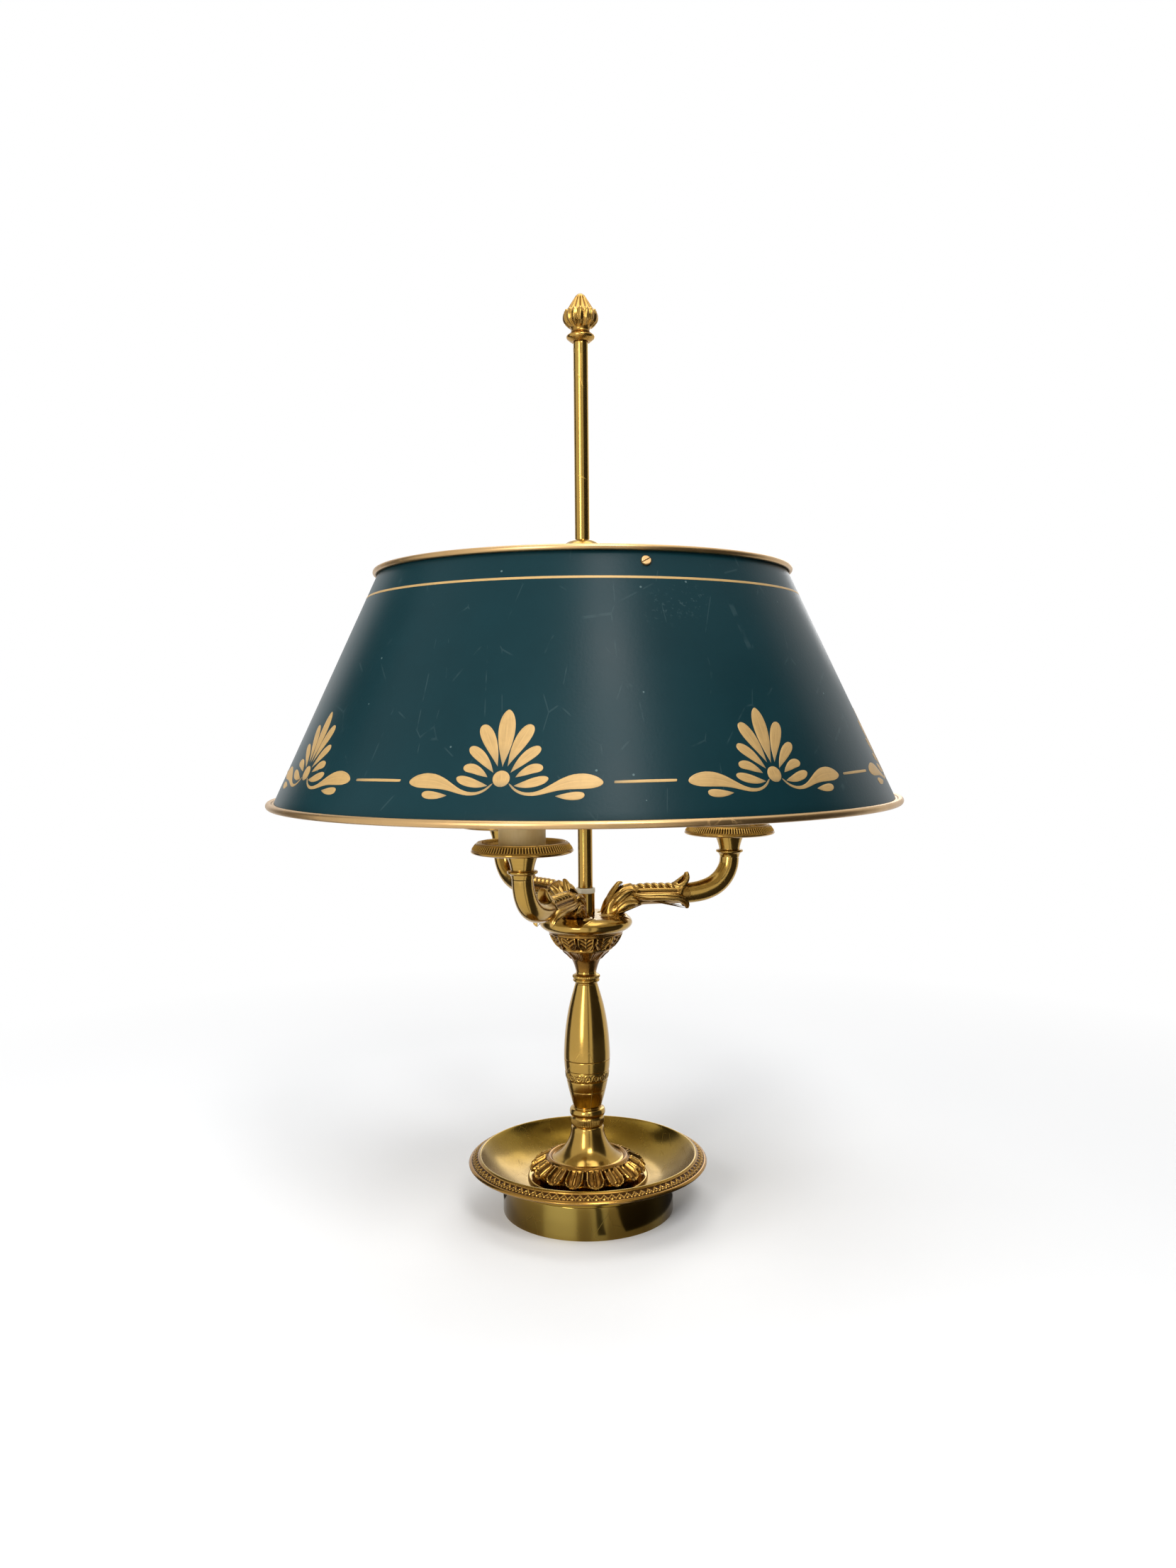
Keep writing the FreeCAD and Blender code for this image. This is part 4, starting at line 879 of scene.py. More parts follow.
def cup_relief(a, r, z):
    """A band of hanging leaves with a rib and slanting veins under a plain rim, a bright line under
    their tips, and a row of small leaves below it."""
    t = (z - 163.9) / 8.2
    u = share(a, CUP_LEAVES, math.radians(-90))
    q = np.clip(t / 0.55, 0, 1)
    half = 0.78 * np.sqrt(q * (2 - q)) + 0.02
    d = np.abs(u) - half
    on = band(t, 0.0, 1.0, 0.08)
    rim = np.exp(-(d / 0.12) ** 2)
    veins = np.cos((t * 3.2 - np.abs(u) * 1.6) * 2 * np.pi) * (1 - smooth(d, -0.2, 0.0))
    rib = np.exp(-(u / 0.10) ** 2) * smooth(t, 0.05, 0.25)
    valley = smooth(d, 0.0, 0.2)
    dart = np.exp(-((1 - np.abs(u)) / 0.10) ** 2) * (1 - smooth(t, 0.5, 0.8))
    leaves = on * (0.75 * rim + 0.24 * veins + 0.55 * rib - 1.0 * valley + 0.95 * dart - 0.2)
    line = 0.40 * np.exp(-((z - 163.2) / 0.42) ** 2) + 0.30 * np.exp(-((z - 172.9) / 0.5) ** 2)
    w = share(a, CUP_LEAVES, math.radians(-75))
    low = (z - 156.8) / 5.0
    petal = np.exp(-(w / 0.5) ** 4) * band(low, 0.0, 1.0, 0.3)
    return leaves + line + 0.7 * petal * (0.5 + 0.5 * np.cos(w * np.pi * 3)) + groove(z, 162.4, 0.5, 0.3)


def cover_relief(a, r, z):
    """A curled ridge on the cover round each arm's root: its distance from the root grows as it
    goes round."""
    h = 0 * a * r
    for azimuth in ARM_AZIMUTHS:
        turn = a - math.radians(azimuth)
        x, y = r * np.sin(turn), r * np.cos(turn) - 17.0
        d = np.hypot(x, y)
        round_it = np.abs(np.arctan2(x, y)) / np.pi
        ridge = np.exp(-((d - 7.4 - 2.6 * round_it) / 1.1) ** 2)
        inner = np.exp(-((d - 10.6 - 3.0 * (1 - round_it)) / 0.8) ** 2) * smooth(round_it, 0.1, 0.4)
        h = h + 0.85 * ridge + 0.5 * inner * (1 - smooth(round_it, 0.7, 0.95))
    return h * smooth(z, COVER_Z + 2.4, COVER_Z + 5.0) * smooth(r, 8.0, 11.0) * (r > 6.0) * (z > COVER_Z + 1)


class LAMP_OT_column(bpy.types.Operator):
    """Turn the vase with its rosettes, and the cup and cover that carry the arms."""
    bl_idname = "lamp.column"
    bl_label = "Vase, cup and cover"

    def execute(self, context):
        vase = through(np.asarray(VASE) * (VASE_R, VASE_H), 60)
        vase = stacked(vase, VASE_Z, fine=(8.0, 73.6, 16.0, 94.8, 0.24))
        piece("vase_chased", [shell(turned(vase, ROSETTES * 24, vase_relief))], [polished_brass()],
              "stand", ["vase_column"])
        cup = np.vstack([through(CUP[:5], 18), through(CUP[4:], 22)[1:], [(23.4, 25.6), (23.2, 26.0)]])
        cup = stacked(cup, CUP_Z, fine=(8.0, 155.5, 25.0, 174.0, 0.36))
        piece("arm_cup_cast", [shell(turned(cup, CUP_LEAVES * 36, cup_relief), reach=0.35)],
              [antique_brass()], "stand", ["arm_cup"])
        cover = stacked(COVER, COVER_Z, radius=0.8, fine=(6.5, 176.0, 30.0, 185.0, 0.6))
        piece("cup_cover_cast", [shell(turned(cover, 300, cover_relief), reach=0.4)], [polished_brass()],
              "stand", ["cup_cover"])
        return {"FINISHED"}


# Rod and finial

ROD_FOOT, ROD_TOP, ROD_R = 200.26, 530.46, 4.5
FOOT_BORE_R, FOOT_SLEEVE_R, SPACER_R = 4.6, 5.7, 5.9
FOOT_SLEEVE_Z, SPACER_Z = 183.76, 197.16
FINIAL_Z = 530.56
FINIAL = ((0, 0), (5.7, 0), (7.4, 1.2), (8.5, 2.3), (8.6, 3.2), (7.8, 4.2), (6.4, 5.2), (5.8, 6.4),
          (5.85, 7.4), (6.75, 8.6), (8.1, 10.0), (9.6, 11.5), (10.2, 13.0), (10.3, 14.6), (10.0, 16.4),
          (8.9, 18.4), (7.6, 20.4), (6.2, 22.6), (4.6, 25.0), (2.9, 27.2), (1.3, 28.5), (0, 28.9))


def pipe_wall(inner_r, outer_r, low, high):
    """Outline of a plain pipe."""
    return [(inner_r, low), (outer_r, low), (outer_r, high), (inner_r, high)]


def finial_relief(a, r, z):
    """Sixteen swelling lobes on the bulb, each split by a fine line, whose rounded tops stand out
    over the fluted point above."""
    dz = z - FINIAL_Z
    ridge = np.abs(np.cos(8 * a))
    edge = 17.2 + 1.3 * ridge
    low = smooth(dz, 7.6, 9.6) * (1 - smooth(dz, edge - 0.35, edge + 0.35))
    lobes = 0.95 * (ridge ** 0.75 - 0.72) + 0.12 * np.cos(32 * a)
    high = smooth(dz, edge - 0.2, edge + 0.6) * (1 - smooth(dz, 25.2, 27.8))
    flutes = 0.75 * (np.abs(np.cos(7 * a)) ** 0.7 - 0.95) - 0.25
    lip = 0.35 * np.exp(-((dz - edge + 0.5) / 0.5) ** 2) * ridge
    return (low * lobes + high * flutes + lip) * (r > 0.3)


def rod_relief(a, r, z):
    """A faint ring and a few shallow dents worn in by the shade's clamp."""
    ring = groove(z, 508.0, 0.8, 0.06)
    dents = sum(0.05 * np.exp(-((z - at) / 1.2) ** 2 - ((np.cos(a - turn) - 1) / 0.05) ** 2)
                for at, turn in ((372.5, 1.83), (381.5, 1.80), (391.0, 1.86), (436.0, 1.7)))
    return (ring - dents) * (r > 4.0)


class LAMP_OT_rod(bpy.types.Operator):
    """Draw the centre rod with its foot sleeve and spacer ring, and model the finial."""
    bl_idname = "lamp.rod"
    bl_label = "Rod and finial"

    def execute(self, context):
        rod = softened(pipe_wall(0, ROD_R, ROD_FOOT, ROD_TOP), 0.3, 1.6, closed=False)
        piece("rod_drawn", [shell(turned(rod, 96, rod_relief, closed=False), (True, False))],
              [polished_brass()], "stand", ["centre_rod"])
        sleeve = pipe_wall(FOOT_BORE_R, FOOT_SLEEVE_R, FOOT_SLEEVE_Z, SPACER_Z)
        piece("rod_sleeve_turned", [shell(turned(softened(sleeve, 0.35, 1.5), 96))], [polished_brass()],
              "stand", ["rod_sleeve"])
        ring = pipe_wall(FOOT_BORE_R, SPACER_R, SPACER_Z, ROD_FOOT)
        piece("spacer_ring", [shell(turned(softened(ring, 0.5, 0.5), 96))], [cream_plastic()],
              "stand", ["rod_spacer"])
        knob = np.vstack([FINIAL[:2], through(FINIAL[1:], 130)[1:]]) + (0, FINIAL_Z)
        knob = softened(knob, 0.2, 0.3, closed=False)
        piece("finial_cast", [shell(turned(knob, 336, finial_relief, closed=False), (True, False), 0.35)],
              [antique_gilt()], "finial_knob", ["finial"])
        return {"FINISHED"}


# Arms and candles

ARM_LINE = ((14.6, 182.2), (16.4, 186.0), (19.4, 190.0), (23.6, 193.0), (29.5, 194.9), (37.5, 195.4),
            (45.5, 195.4), (53.6, 195.3), (61.0, 195.2), (68.0, 195.6), (75.0, 197.0), (81.0, 199.5),
            (85.4, 203.0), (88.6, 207.4), (90.6, 212.4), (91.2, 217.4))
ARM_RADII = ((14, 5.2), (17, 5.9), (21, 6.4), (27, 6.7), (34, 6.6), (45, 6.5), (57, 6.3), (66, 6.3),
             (76, 6.5), (84, 6.4), (89, 6.2), (92, 5.9))


def arm_frame(count):
    """Points of an arm's centre line in its own plane, and the direction across it, upwards."""
    line = through(ARM_LINE, count)
    t = np.gradient(line, axis=0)
    t /= np.linalg.norm(t, axis=1, keepdims=True)
    zero = np.zeros(count)
    path = np.stack([line[:, 0], zero, line[:, 1]], 1)
    return path, np.stack([-t[:, 1], zero, t[:, 0]], 1)


def arm_body():
    """Round arm: distance from its centre line by place and by the angle from its top, swollen
    where leaves clothe it, with valleys beside the top ridge and scalloped ends to the leaves."""
    path, up = arm_frame(250)
    side = np.array([0.0, 1.0, 0.0])
    a = np.linspace(0, 2 * np.pi, 96, endpoint=False)[None, :]
    r = path[:, 0][:, None]
    radius = np.interp(path[:, 0], *np.transpose(ARM_RADII))[:, None]
    from_top = np.abs(np.angle(np.exp(1j * a)))
    clad = 1 - smooth(r, 61.0 + 2.5 * np.cos(2 * a), 62.2 + 2.5 * np.cos(2 * a))
    low_bare = smooth(from_top, 2.1, 2.5) * smooth(r, 33.0, 36.0)
    h = 0.55 * clad * (1 - low_bare)
    valley = np.exp(-((from_top - 1.22) / 0.16) ** 2) * band(r, 32.0, 57.5, 3.0)
    second = np.exp(-((from_top - 1.95) / 0.13) ** 2) * band(r, 35.0, 56.0, 4.0)
    sunk = np.exp(-(from_top / 1.0) ** 4) * band(r, 31.0, 58.0, 4.0)
    h = h - 1.3 * valley - 0.5 * second * (1 - low_bare) - 2.0 * sunk
    root = 1 - smooth(r, 26.5 + 3.5 * np.cos(from_top * 3 + 0.6), 28.0 + 3.5 * np.cos(from_top * 3 + 0.6))
    lines = np.cos(from_top * 7.0 + 0.12 * (r - 15.0))
    h = h + root * (0.5 + 0.55 * lines * smooth(r, 15.0, 18.0))
    d = (radius + h)[..., None]
    return path[:, None] + d * (np.cos(a)[..., None] * up[:, None] + np.sin(a)[..., None] * side)


def leaf(points, outward, half_widths, crown, thickness, ribs, rows, columns=26):
    """Curved leaf: a closed strip along a smooth path, arched over its width by crown, with fine
    ribs along its outer face that run together at the tip."""
    n = len(points)
    path = through(points, rows)
    knots = np.linspace(0, 1, n)
    t = np.linspace(0, 1, rows)
    up = np.stack([np.interp(t, knots, np.asarray(outward, float)[:, k]) for k in range(3)], 1)
    w = np.interp(t, knots, half_widths)
    round_end = np.sqrt(np.clip(1 - t ** 10, 0, 1))
    w = np.maximum(w * round_end, 0.02)[:, None, None]
    thickness = np.broadcast_to(thickness, n)
    thickness = (np.interp(t, knots, thickness) * np.maximum(round_end, 0.05))[:, None, None]
    ahead = np.gradient(path, axis=0)
    ahead /= np.linalg.norm(ahead, axis=1, keepdims=True)
    side = np.cross(ahead, up)
    side /= np.linalg.norm(side, axis=1, keepdims=True)
    top = np.cross(side, ahead)
    a = np.linspace(0, 2 * np.pi, columns, endpoint=False)[None, :, None]
    v = np.cos(a)
    outer = np.clip(np.sin(a), 0, 1) ** 0.6
    ease = np.minimum(1, w / 1.6)
    border = np.exp(-((np.abs(v) - 0.84) / 0.12) ** 2)
    ridge = outer * ease * (0.35 * np.cos(v * np.pi * ribs) + 0.28 * border)
    h = crown * (1 - v ** 2) * ease + 0.5 * thickness * np.sin(a) + ridge
    return path[:, None] + side[:, None] * v * w + top[:, None] * h


def mirrored(points):
    """The points on the arm's other side."""
    return [(x, -y, z) for x, y, z in points]


# The leaves of one arm: points, directions their faces look to, half widths, crown, thickness, ribs
# and rows. The first stands up behind the root, the second is the curl on top. The others are on
# both sides: the long one that hooks down, and the lower and the upper one of the root.
MIDDLE_LEAVES = (
    (((13.2, 0, 188.8), (16.2, 0, 195.2), (19.4, 0, 199.6), (21.6, 0, 202.0), (23.4, 0, 203.0)),
     ((-0.9, 0, 0.5), (-0.85, 0, 0.55), (-0.75, 0, 0.7), (-0.6, 0, 0.8), (-0.5, 0, 0.9)),
     (3.4, 4.4, 3.8, 2.6, 0.9), 1.5, 1.5, 3, 54),
    (((54.0, 0, 199.0), (59.0, 0, 199.9), (62.2, 0, 201.6), (63.9, 0, 204.4), (64.4, 0, 208.6)),
     ((0, 0, 1), (-0.25, 0, 1), (-0.6, 0, 0.8), (-0.95, 0, 0.35), (-1, 0, 0.1)),
     (3.4, 4.8, 4.7, 3.9, 3.0), 0.6, (2.6, 4.0, 4.6, 4.2, 3.4), 2, 54),
)
SIDE_LEAVES = (
    (((29.0, 5.8, 195.4), (36.0, 6.8, 194.3), (45.0, 6.9, 194.2), (53.0, 6.6, 193.9), (58.4, 6.0, 193.0),
      (61.6, 5.2, 190.4), (63.2, 4.2, 186.0)),
     ((0, 1, 0.3), (0, 1, 0.1), (0, 1, 0), (0, 1, -0.1), (0.1, 1, -0.2), (0.3, 1, -0.1), (0.6, 1, 0)),
     (1.7, 2.3, 2.4, 2.5, 2.7, 2.6, 2.3), 1.0, (2.2, 2.2, 2.2, 2.4, 3.0, 3.6, 3.2), 3, 80),
    (((17.8, 5.0, 184.8), (21.5, 6.6, 188.4), (26.0, 7.4, 191.0), (30.0, 7.6, 191.2), (33.6, 7.4, 189.6)),
     ((0.3, 1, -0.2), (0.2, 1, -0.2), (0.1, 1, -0.1), (0.1, 1, -0.2), (0.3, 1, -0.3)),
     (2.0, 3.0, 3.3, 2.6, 0.9), 1.0, 1.4, 2, 54),
    (((16.0, 4.2, 188.5), (19.0, 6.2, 193.0), (23.0, 7.0, 196.6), (27.0, 6.8, 198.2), (30.5, 6.6, 197.8)),
     ((-0.3, 1, 0.3), (-0.2, 1, 0.3), (-0.1, 1, 0.3), (0, 1, 0.3), (0.2, 1, 0.3)),
     (2.0, 2.8, 2.8, 2.0, 0.7), 1.0, 1.4, 2, 54),
)


def arm_leaves():
    """The cast leaves of one arm, in its own plane."""
    leaves = list(MIDDLE_LEAVES)
    for turn in (list, mirrored):
        leaves += [(turn(points), turn(out), *rest) for points, out, *rest in SIDE_LEAVES]
    return [shell(leaf(*values), reach=0.3) for values in leaves]


def rope():
    """Twisted ridge on top of the arm: an oval section whose two strands turn as it runs on."""
    line = through([(28.0, 198.4), (34.0, 199.2), (45.0, 199.3), (54.0, 199.2), (60.5, 200.3)], 150)
    path = np.stack([line[:, 0], 0 * line[:, 0], line[:, 1]], 1)
    t = np.gradient(path, axis=0)
    t /= np.linalg.norm(t, axis=1, keepdims=True)
    up = np.cross([0.0, 1.0, 0.0], t)
    up *= np.sign(up[:, 2:3])
    run = np.concatenate([[0], np.cumsum(np.linalg.norm(np.diff(path, axis=0), axis=1))])[:, None]
    a = np.linspace(0, 2 * np.pi, 32, endpoint=False)[None, :]
    strand = np.abs(np.cos(a - run * np.pi / 4.4)) ** 0.8
    ends = np.sqrt(np.clip(np.minimum(run, run[-1] - run) / 2.5, 0.02, 1))
    d = (1.75 + 1.15 * strand) * ends
    side = np.array([0.0, 1.0, 0.0])
    across = (1.5 * d * np.cos(a))[..., None] * side
    return path[:, None] + (d * np.sin(a))[..., None] * up[:, None] + across


class LAMP_OT_arms(bpy.types.Operator):
    """Bend the three arms and clothe them in cast leaves with a twisted ridge."""
    bl_idname = "lamp.arms"
    bl_label = "Arms"

    def execute(self, context):
        body = arm_body()
        ends = [body[0].mean(0), body[-1].mean(0)]
        body = np.concatenate([np.broadcast_to(ends[0], (1, *body.shape[1:])), body,
                               np.broadcast_to(ends[1], (1, *body.shape[1:]))])
        shells = [shell(body, (False, True), reach=0.35)] + arm_leaves() + [shell(rope(), (False, True))]
        centre = shells[0]["points"][shells[0]["faces"]].mean(1)
        for extra in shells:
            extra["finish"] = np.ones(len(extra["faces"]), int)
        tube = centre[:, 0] + 2.0 * np.cos(2 * np.arctan2(centre[:, 1], centre[:, 2] - 195.3)) > 63.0
        shells[0]["finish"] = np.where(tube, 0, 1)
        for number, azimuth in enumerate(ARM_AZIMUTHS, 1):
            turned_shells = [dict(s, points=placed(s["points"], azimuth)) for s in shells]
            piece(f"arm_{number}_cast", turned_shells, [polished_brass(), arm_gilt()],
                  "stand", [f"arm_{number}"], angle=45.0)
        return {"FINISHED"}


CANDLE_CUP = ((5.9, 0), (6.3, 1.5), (7.0, 2.7), (8.3, 3.4), (8.5, 4.1), (8.2, 4.7), (6.3, 5.0), (6.6, 6.6),
              (7.1, 8.6), (7.8, 10.8), (8.6, 12.8), (8.6, 14.3))
DRIP_RING = ((8.4, 0), (24.6, 0), (26.6, 0.2), (27.9, 0.8), (28.25, 1.5), (27.6, 2.5), (25.4, 5.6),
             (24.9, 6.3), (24.3, 6.5), (23.6, 6.2), (22.9, 4.6), (21.6, 3.0), (19.0, 1.7), (13.4, 1.6),
             (3.2, 1.6))
CANDLE_CUP_Z, DRIP_Z = 217.06, 231.36
SLEEVE_Z, SLEEVE_TOP, SLEEVE_R, SLEEVE_BORE_R = 232.96, 297.96, 13.0, 12.1
MILLS = 104


def drip_relief(a, r, z):
    """Milled border: a ridge in each unit of the slope, its height a rounded cosine of the angle."""
    v = (z - DRIP_Z - 2.7) / 2.7
    on = band(v, 0.0, 1.0, 0.1) * (r > 24.9)
    ridges = np.abs(np.cos(a * MILLS / 2)) ** 1.2
    return on * (0.62 * ridges - 0.38)


def sleeve_wave(number):
    """Relief that makes a card sleeve slightly out of round: a sine of the angle and the height,
    started at another place for each sleeve."""
    return lambda a, r, z: 0.05 * np.sin(2 * a + z / 17.0 + number) * (r > 12.5)


class LAMP_OT_candles(bpy.types.Operator):
    """Turn the candle cups and the milled drip rings, and roll the candle sleeves."""
    bl_idname = "lamp.candles"
    bl_label = "Candle cups, drip rings and sleeves"

    def execute(self, context):
        cup = stacked(CANDLE_CUP, CANDLE_CUP_Z, bore=3.2, step=0.8)
        ring = np.vstack([[(3.2, DRIP_Z)], np.asarray(DRIP_RING) + (0, DRIP_Z)])
        ring = refined(softened(ring, 0.35, 2.5), (24.6, 233.4, 28.4, 237.9, 0.42))
        sleeve = softened(pipe_wall(SLEEVE_BORE_R, SLEEVE_R, SLEEVE_Z, SLEEVE_TOP), 0.35, 3.0)
        for number, azimuth in enumerate(ARM_AZIMUTHS, 1):
            turn = math.radians(azimuth)
            middle = (ARM_REACH * math.cos(turn), ARM_REACH * math.sin(turn))
            piece(f"candle_cup_{number}_turned", [shell(turned(cup, 128, centre=middle))],
                  [polished_brass()], "stand", [f"candle_cup_{number}"])
            milled = shell(turned(ring, MILLS * 6, drip_relief, middle))
            piece(f"drip_ring_{number}_milled", [milled], [milled_brass()], "stand",
                  [f"drip_ring_{number}"])
            rolled_card = shell(turned(sleeve, 128, sleeve_wave(number), middle))
            piece(f"candle_sleeve_{number}_rolled", [rolled_card],
                  [candle_card()], "stand", [f"candle_sleeve_{number}"])
        return {"FINISHED"}


# Shade

PINSTRIPE_Z = 376.0
MOTIF_Z = 276.6
PETALS = (
    ((2.4, 6.3), (5.0, 13.5), (8.4, 20.8), (12.4, 28.0), 7.0, 1.1, 0.45),
    ((4.2, 3.1), (7.6, 7.4), (12.0, 12.0), (17.6, 16.2), 5.6, 1.0, 0.45),
    ((6.9, 0.8), (10.6, 3.2), (14.8, 5.2), (19.8, 5.6), 4.8, 0.9, 0.45),
    ((6.5, -3.6), (11.0, -3.0), (16.6, -1.6), (22.8, 0.3), 4.8, 0.9, 0.5),
)
SCROLL_LINE = ((4.0, -2.4), (7.6, -5.8), (11.6, -7.5), (16.0, -7.7), (20.5, -6.6), (25.0, -4.7), (29.5, -2.9),
               (34.0, -1.7), (39.0, -1.3), (44.0, -1.7), (48.9, -2.3))
SCROLL_WIDTHS = (0.9, 1.2, 1.5, 1.9, 2.6, 4.0, 6.0, 7.7, 8.4, 8.2, 7.0)
DROP_LINE = ((26.8, -8.8), (31.0, -8.9), (36.0, -8.7), (40.6, -8.3))


def cone_r(z):
    """Radius of the cone's outside at a height."""
    return SHADE_FOOT[0] - (z - SHADE_FOOT[1]) * math.tan(SHADE_LEAN)


def laid_on_cone(u, s, h, direction):
    """Place on the cone: s along its slant from the palmette's middle, u round it, h off it."""
    r = cone_r(MOTIF_Z) - s * math.sin(SHADE_LEAN) + h * math.cos(SHADE_LEAN)
    z = MOTIF_Z + s * math.cos(SHADE_LEAN) + h * math.sin(SHADE_LEAN)
    angle = direction + u / (cone_r(MOTIF_Z) - s * math.sin(SHADE_LEAN))
    return np.stack([r * np.cos(angle), r * np.sin(angle), z], -1)


def stroke(line, width, direction, flip=1, rows=22, columns=12):
    """Brush stroke on the cone: its width across a smooth line is width(share of its length), its
    face a low pillow over the lacquer, its back just inside it."""
    dense = through(line, 160)
    t = 0.5 - 0.5 * np.cos(np.linspace(0, np.pi, rows))
    x = np.linspace(0, 1, 160)
    p = np.stack([np.interp(t, x, dense[:, k]) for k in (0, 1)], 1)
    d = np.gradient(dense, axis=0)
    d = np.stack([np.interp(t, x, d[:, k]) for k in (0, 1)], 1)
    d /= np.linalg.norm(d, axis=1, keepdims=True)
    w = (width(t) / 2)[:, None]
    a = np.linspace(0, 2 * np.pi, columns, endpoint=False)[None, :]
    u = flip * (p[:, :1] - d[:, 1:] * w * np.cos(a))
    s = p[:, 1:] + d[:, :1] * w * np.cos(a)
    paint = settings().paint_thickness / MM
    h = np.where(np.sin(a) > 1e-6, paint * np.sqrt(np.abs(np.sin(a))), -0.06 * np.abs(np.sin(a)))
    h = h * np.minimum(1, w / 0.6)
    return shell(laid_on_cone(u, s, h, direction), (False, True))


def petal_width(width, tip, head):
    """Share t of a petal to its width: t to the power tip times (1 - t) to the power head."""
    peak = tip / (tip + head)
    top = peak ** tip * (1 - peak) ** head
    return lambda t: width * np.clip(t, 0, 1) ** tip * np.clip(1 - t, 0, 1) ** head / top


def table_width(widths):
    """Share t to a width read from an even table, rounded off at both ends."""
    x = np.linspace(0, 1, len(widths))

    def width(t):
        ends = np.clip(1 - t ** 9, 0, 1) * np.clip(1 - (1 - t) ** 40, 0, 1)
        return np.interp(t, x, widths) * np.sqrt(ends)
    return width


def palmette(direction):
    """One palmette: a dot, a pointed middle petal, and on each side four petals, a scroll with a
    fat head and a drop under it."""
    dot = stroke(((0, -4.2), (0, 0), (0, 4.2)), lambda t: 8.4 * np.sqrt(np.clip(4 * t * (1 - t), 0, 1)),
                 direction, rows=18, columns=16)
    middle = ((0, 6.0), (0, 16), (0, 27), (0, 36.2))
    strokes = [dot, stroke(middle, petal_width(8.4, 1.15, 0.62), direction)]
    for flip in (1, -1):
        for *line, width, tip, head in PETALS:
            strokes.append(stroke(line, petal_width(width, tip, head), direction, flip))
        strokes.append(stroke(SCROLL_LINE, table_width(SCROLL_WIDTHS), direction, flip, rows=34))
        strokes.append(stroke(DROP_LINE, petal_width(4.1, 0.9, 0.42), direction, flip))
    return strokes


def cone_ring(z, half, height):
    """Outline of a thin band round the cone, half its width to each side of height z."""
    low, high = z - half * math.cos(SHADE_LEAN), z + half * math.cos(SHADE_LEAN)
    return [(cone_r(low) - 0.05, low), (cone_r(low) + height * 0.3, low), (cone_r(z) + height, z),
            (cone_r(high) + height * 0.3, high), (cone_r(high) - 0.05, high)]


class LAMP_OT_shade(bpy.types.Operator):
    """Roll the shade's cone with its lap seam and line it."""
    bl_idname = "lamp.shade"
    bl_label = "Shade cone"

    def execute(self, context):
        across = SHADE_T / math.cos(SHADE_LEAN)
        loop = [SHADE_FOOT, SHADE_HEAD, (SHADE_HEAD[0] - across, SHADE_HEAD[1]),
                (SHADE_FOOT[0] - across, SHADE_FOOT[1])]
        cone = shell(turned(softened(loop, 0.15, 5.0), 320))
        centre = cone["points"][cone["faces"]].mean(1)
        depth = cone_r(centre[:, 2]) - np.hypot(centre[:, 0], centre[:, 1])
        cone["finish"] = np.where(depth > 0.45, 1, 0)
        t = np.linspace(0, 1, 40)[:, None]
        slant = (1 - t) * SHADE_FOOT + t * np.array(SHADE_HEAD)
        path = np.stack([0 * slant[:, 0], slant[:, 0] + 0.05, slant[:, 1]], 1)
        out = np.tile([0.0, math.cos(SHADE_LEAN), math.sin(SHADE_LEAN)], (40, 1))
        seam = shell(swept(path, out, 4.0, 0.32, 20, 0.4), (False, True))
        piece("shade_cone_rolled", [cone, seam], [shade_lacquer(), lining_paint()], "shade",
              ["shade_cone"])
        return {"FINISHED"}


class LAMP_OT_ornament(bpy.types.Operator):
    """Paint the palmettes, the lines between them and the pinstripe on the shade."""
    bl_idname = "lamp.ornament"
    bl_label = "Painted ornament"

    def execute(self, context):
        s = settings()
        pitch = 2 * math.pi / s.motif_count
        half = pitch * cone_r(MOTIF_Z) / 2
        strokes = [shell(turned(softened(cone_ring(PINSTRIPE_Z, 0.68, 0.12), 0.02, 1.0), 360))]
        for k in range(s.motif_count):
            direction = s.motif_turn + k * pitch
            strokes += palmette(direction)
            strokes.append(stroke(((half - 15.2, -1.9), (half, -1.6), (half + 15.2, -1.5)),
                                  lambda t: 1.5 * (np.clip(4 * t * (1 - t), 0, 1)) ** 0.06, direction))
        piece("shade_ornament", strokes, [gold_strokes()], "shade")
        return {"FINISHED"}


def rolled(ring_r, wire_r, ring_z, web_in, web_low, web_high):
    """Rolled rim: most of a circle, closed by the web that reaches the cone's edge."""
    low = math.pi - math.asin((web_low - ring_z) / wire_r)
    high = 3 * math.pi - math.asin((web_high - ring_z) / wire_r)
    a = np.linspace(low, high, 40)
    wire = np.stack([ring_r + wire_r * np.cos(a), ring_z + wire_r * np.sin(a)], 1)
    return np.vstack([[(web_in, web_low)], wire, [(web_in, web_high)]])


# Radius of each rim's wire ring and of its wire, height of the ring, and the web to the cone.
BOTTOM_RIM = (188.0, 2.0, 255.76, 184.53, 255.76, 256.96)
TOP_RIM = (124.3, 1.65, 391.66, 122.23, 390.46, 391.66)


class LAMP_OT_rims(bpy.types.Operator):
    """Roll the shade's two gilt rims."""
    bl_idname = "lamp.rims"
    bl_label = "Shade rims"

    def execute(self, context):
        for node_name, rim in (("shade_bottom_rim", BOTTOM_RIM), ("shade_top_rim", TOP_RIM)):
            piece(f"{node_name}_rolled", [shell(turned(rolled(*rim), 360))], [satin_gold()],
                  "shade", [node_name])
        return {"FINISHED"}


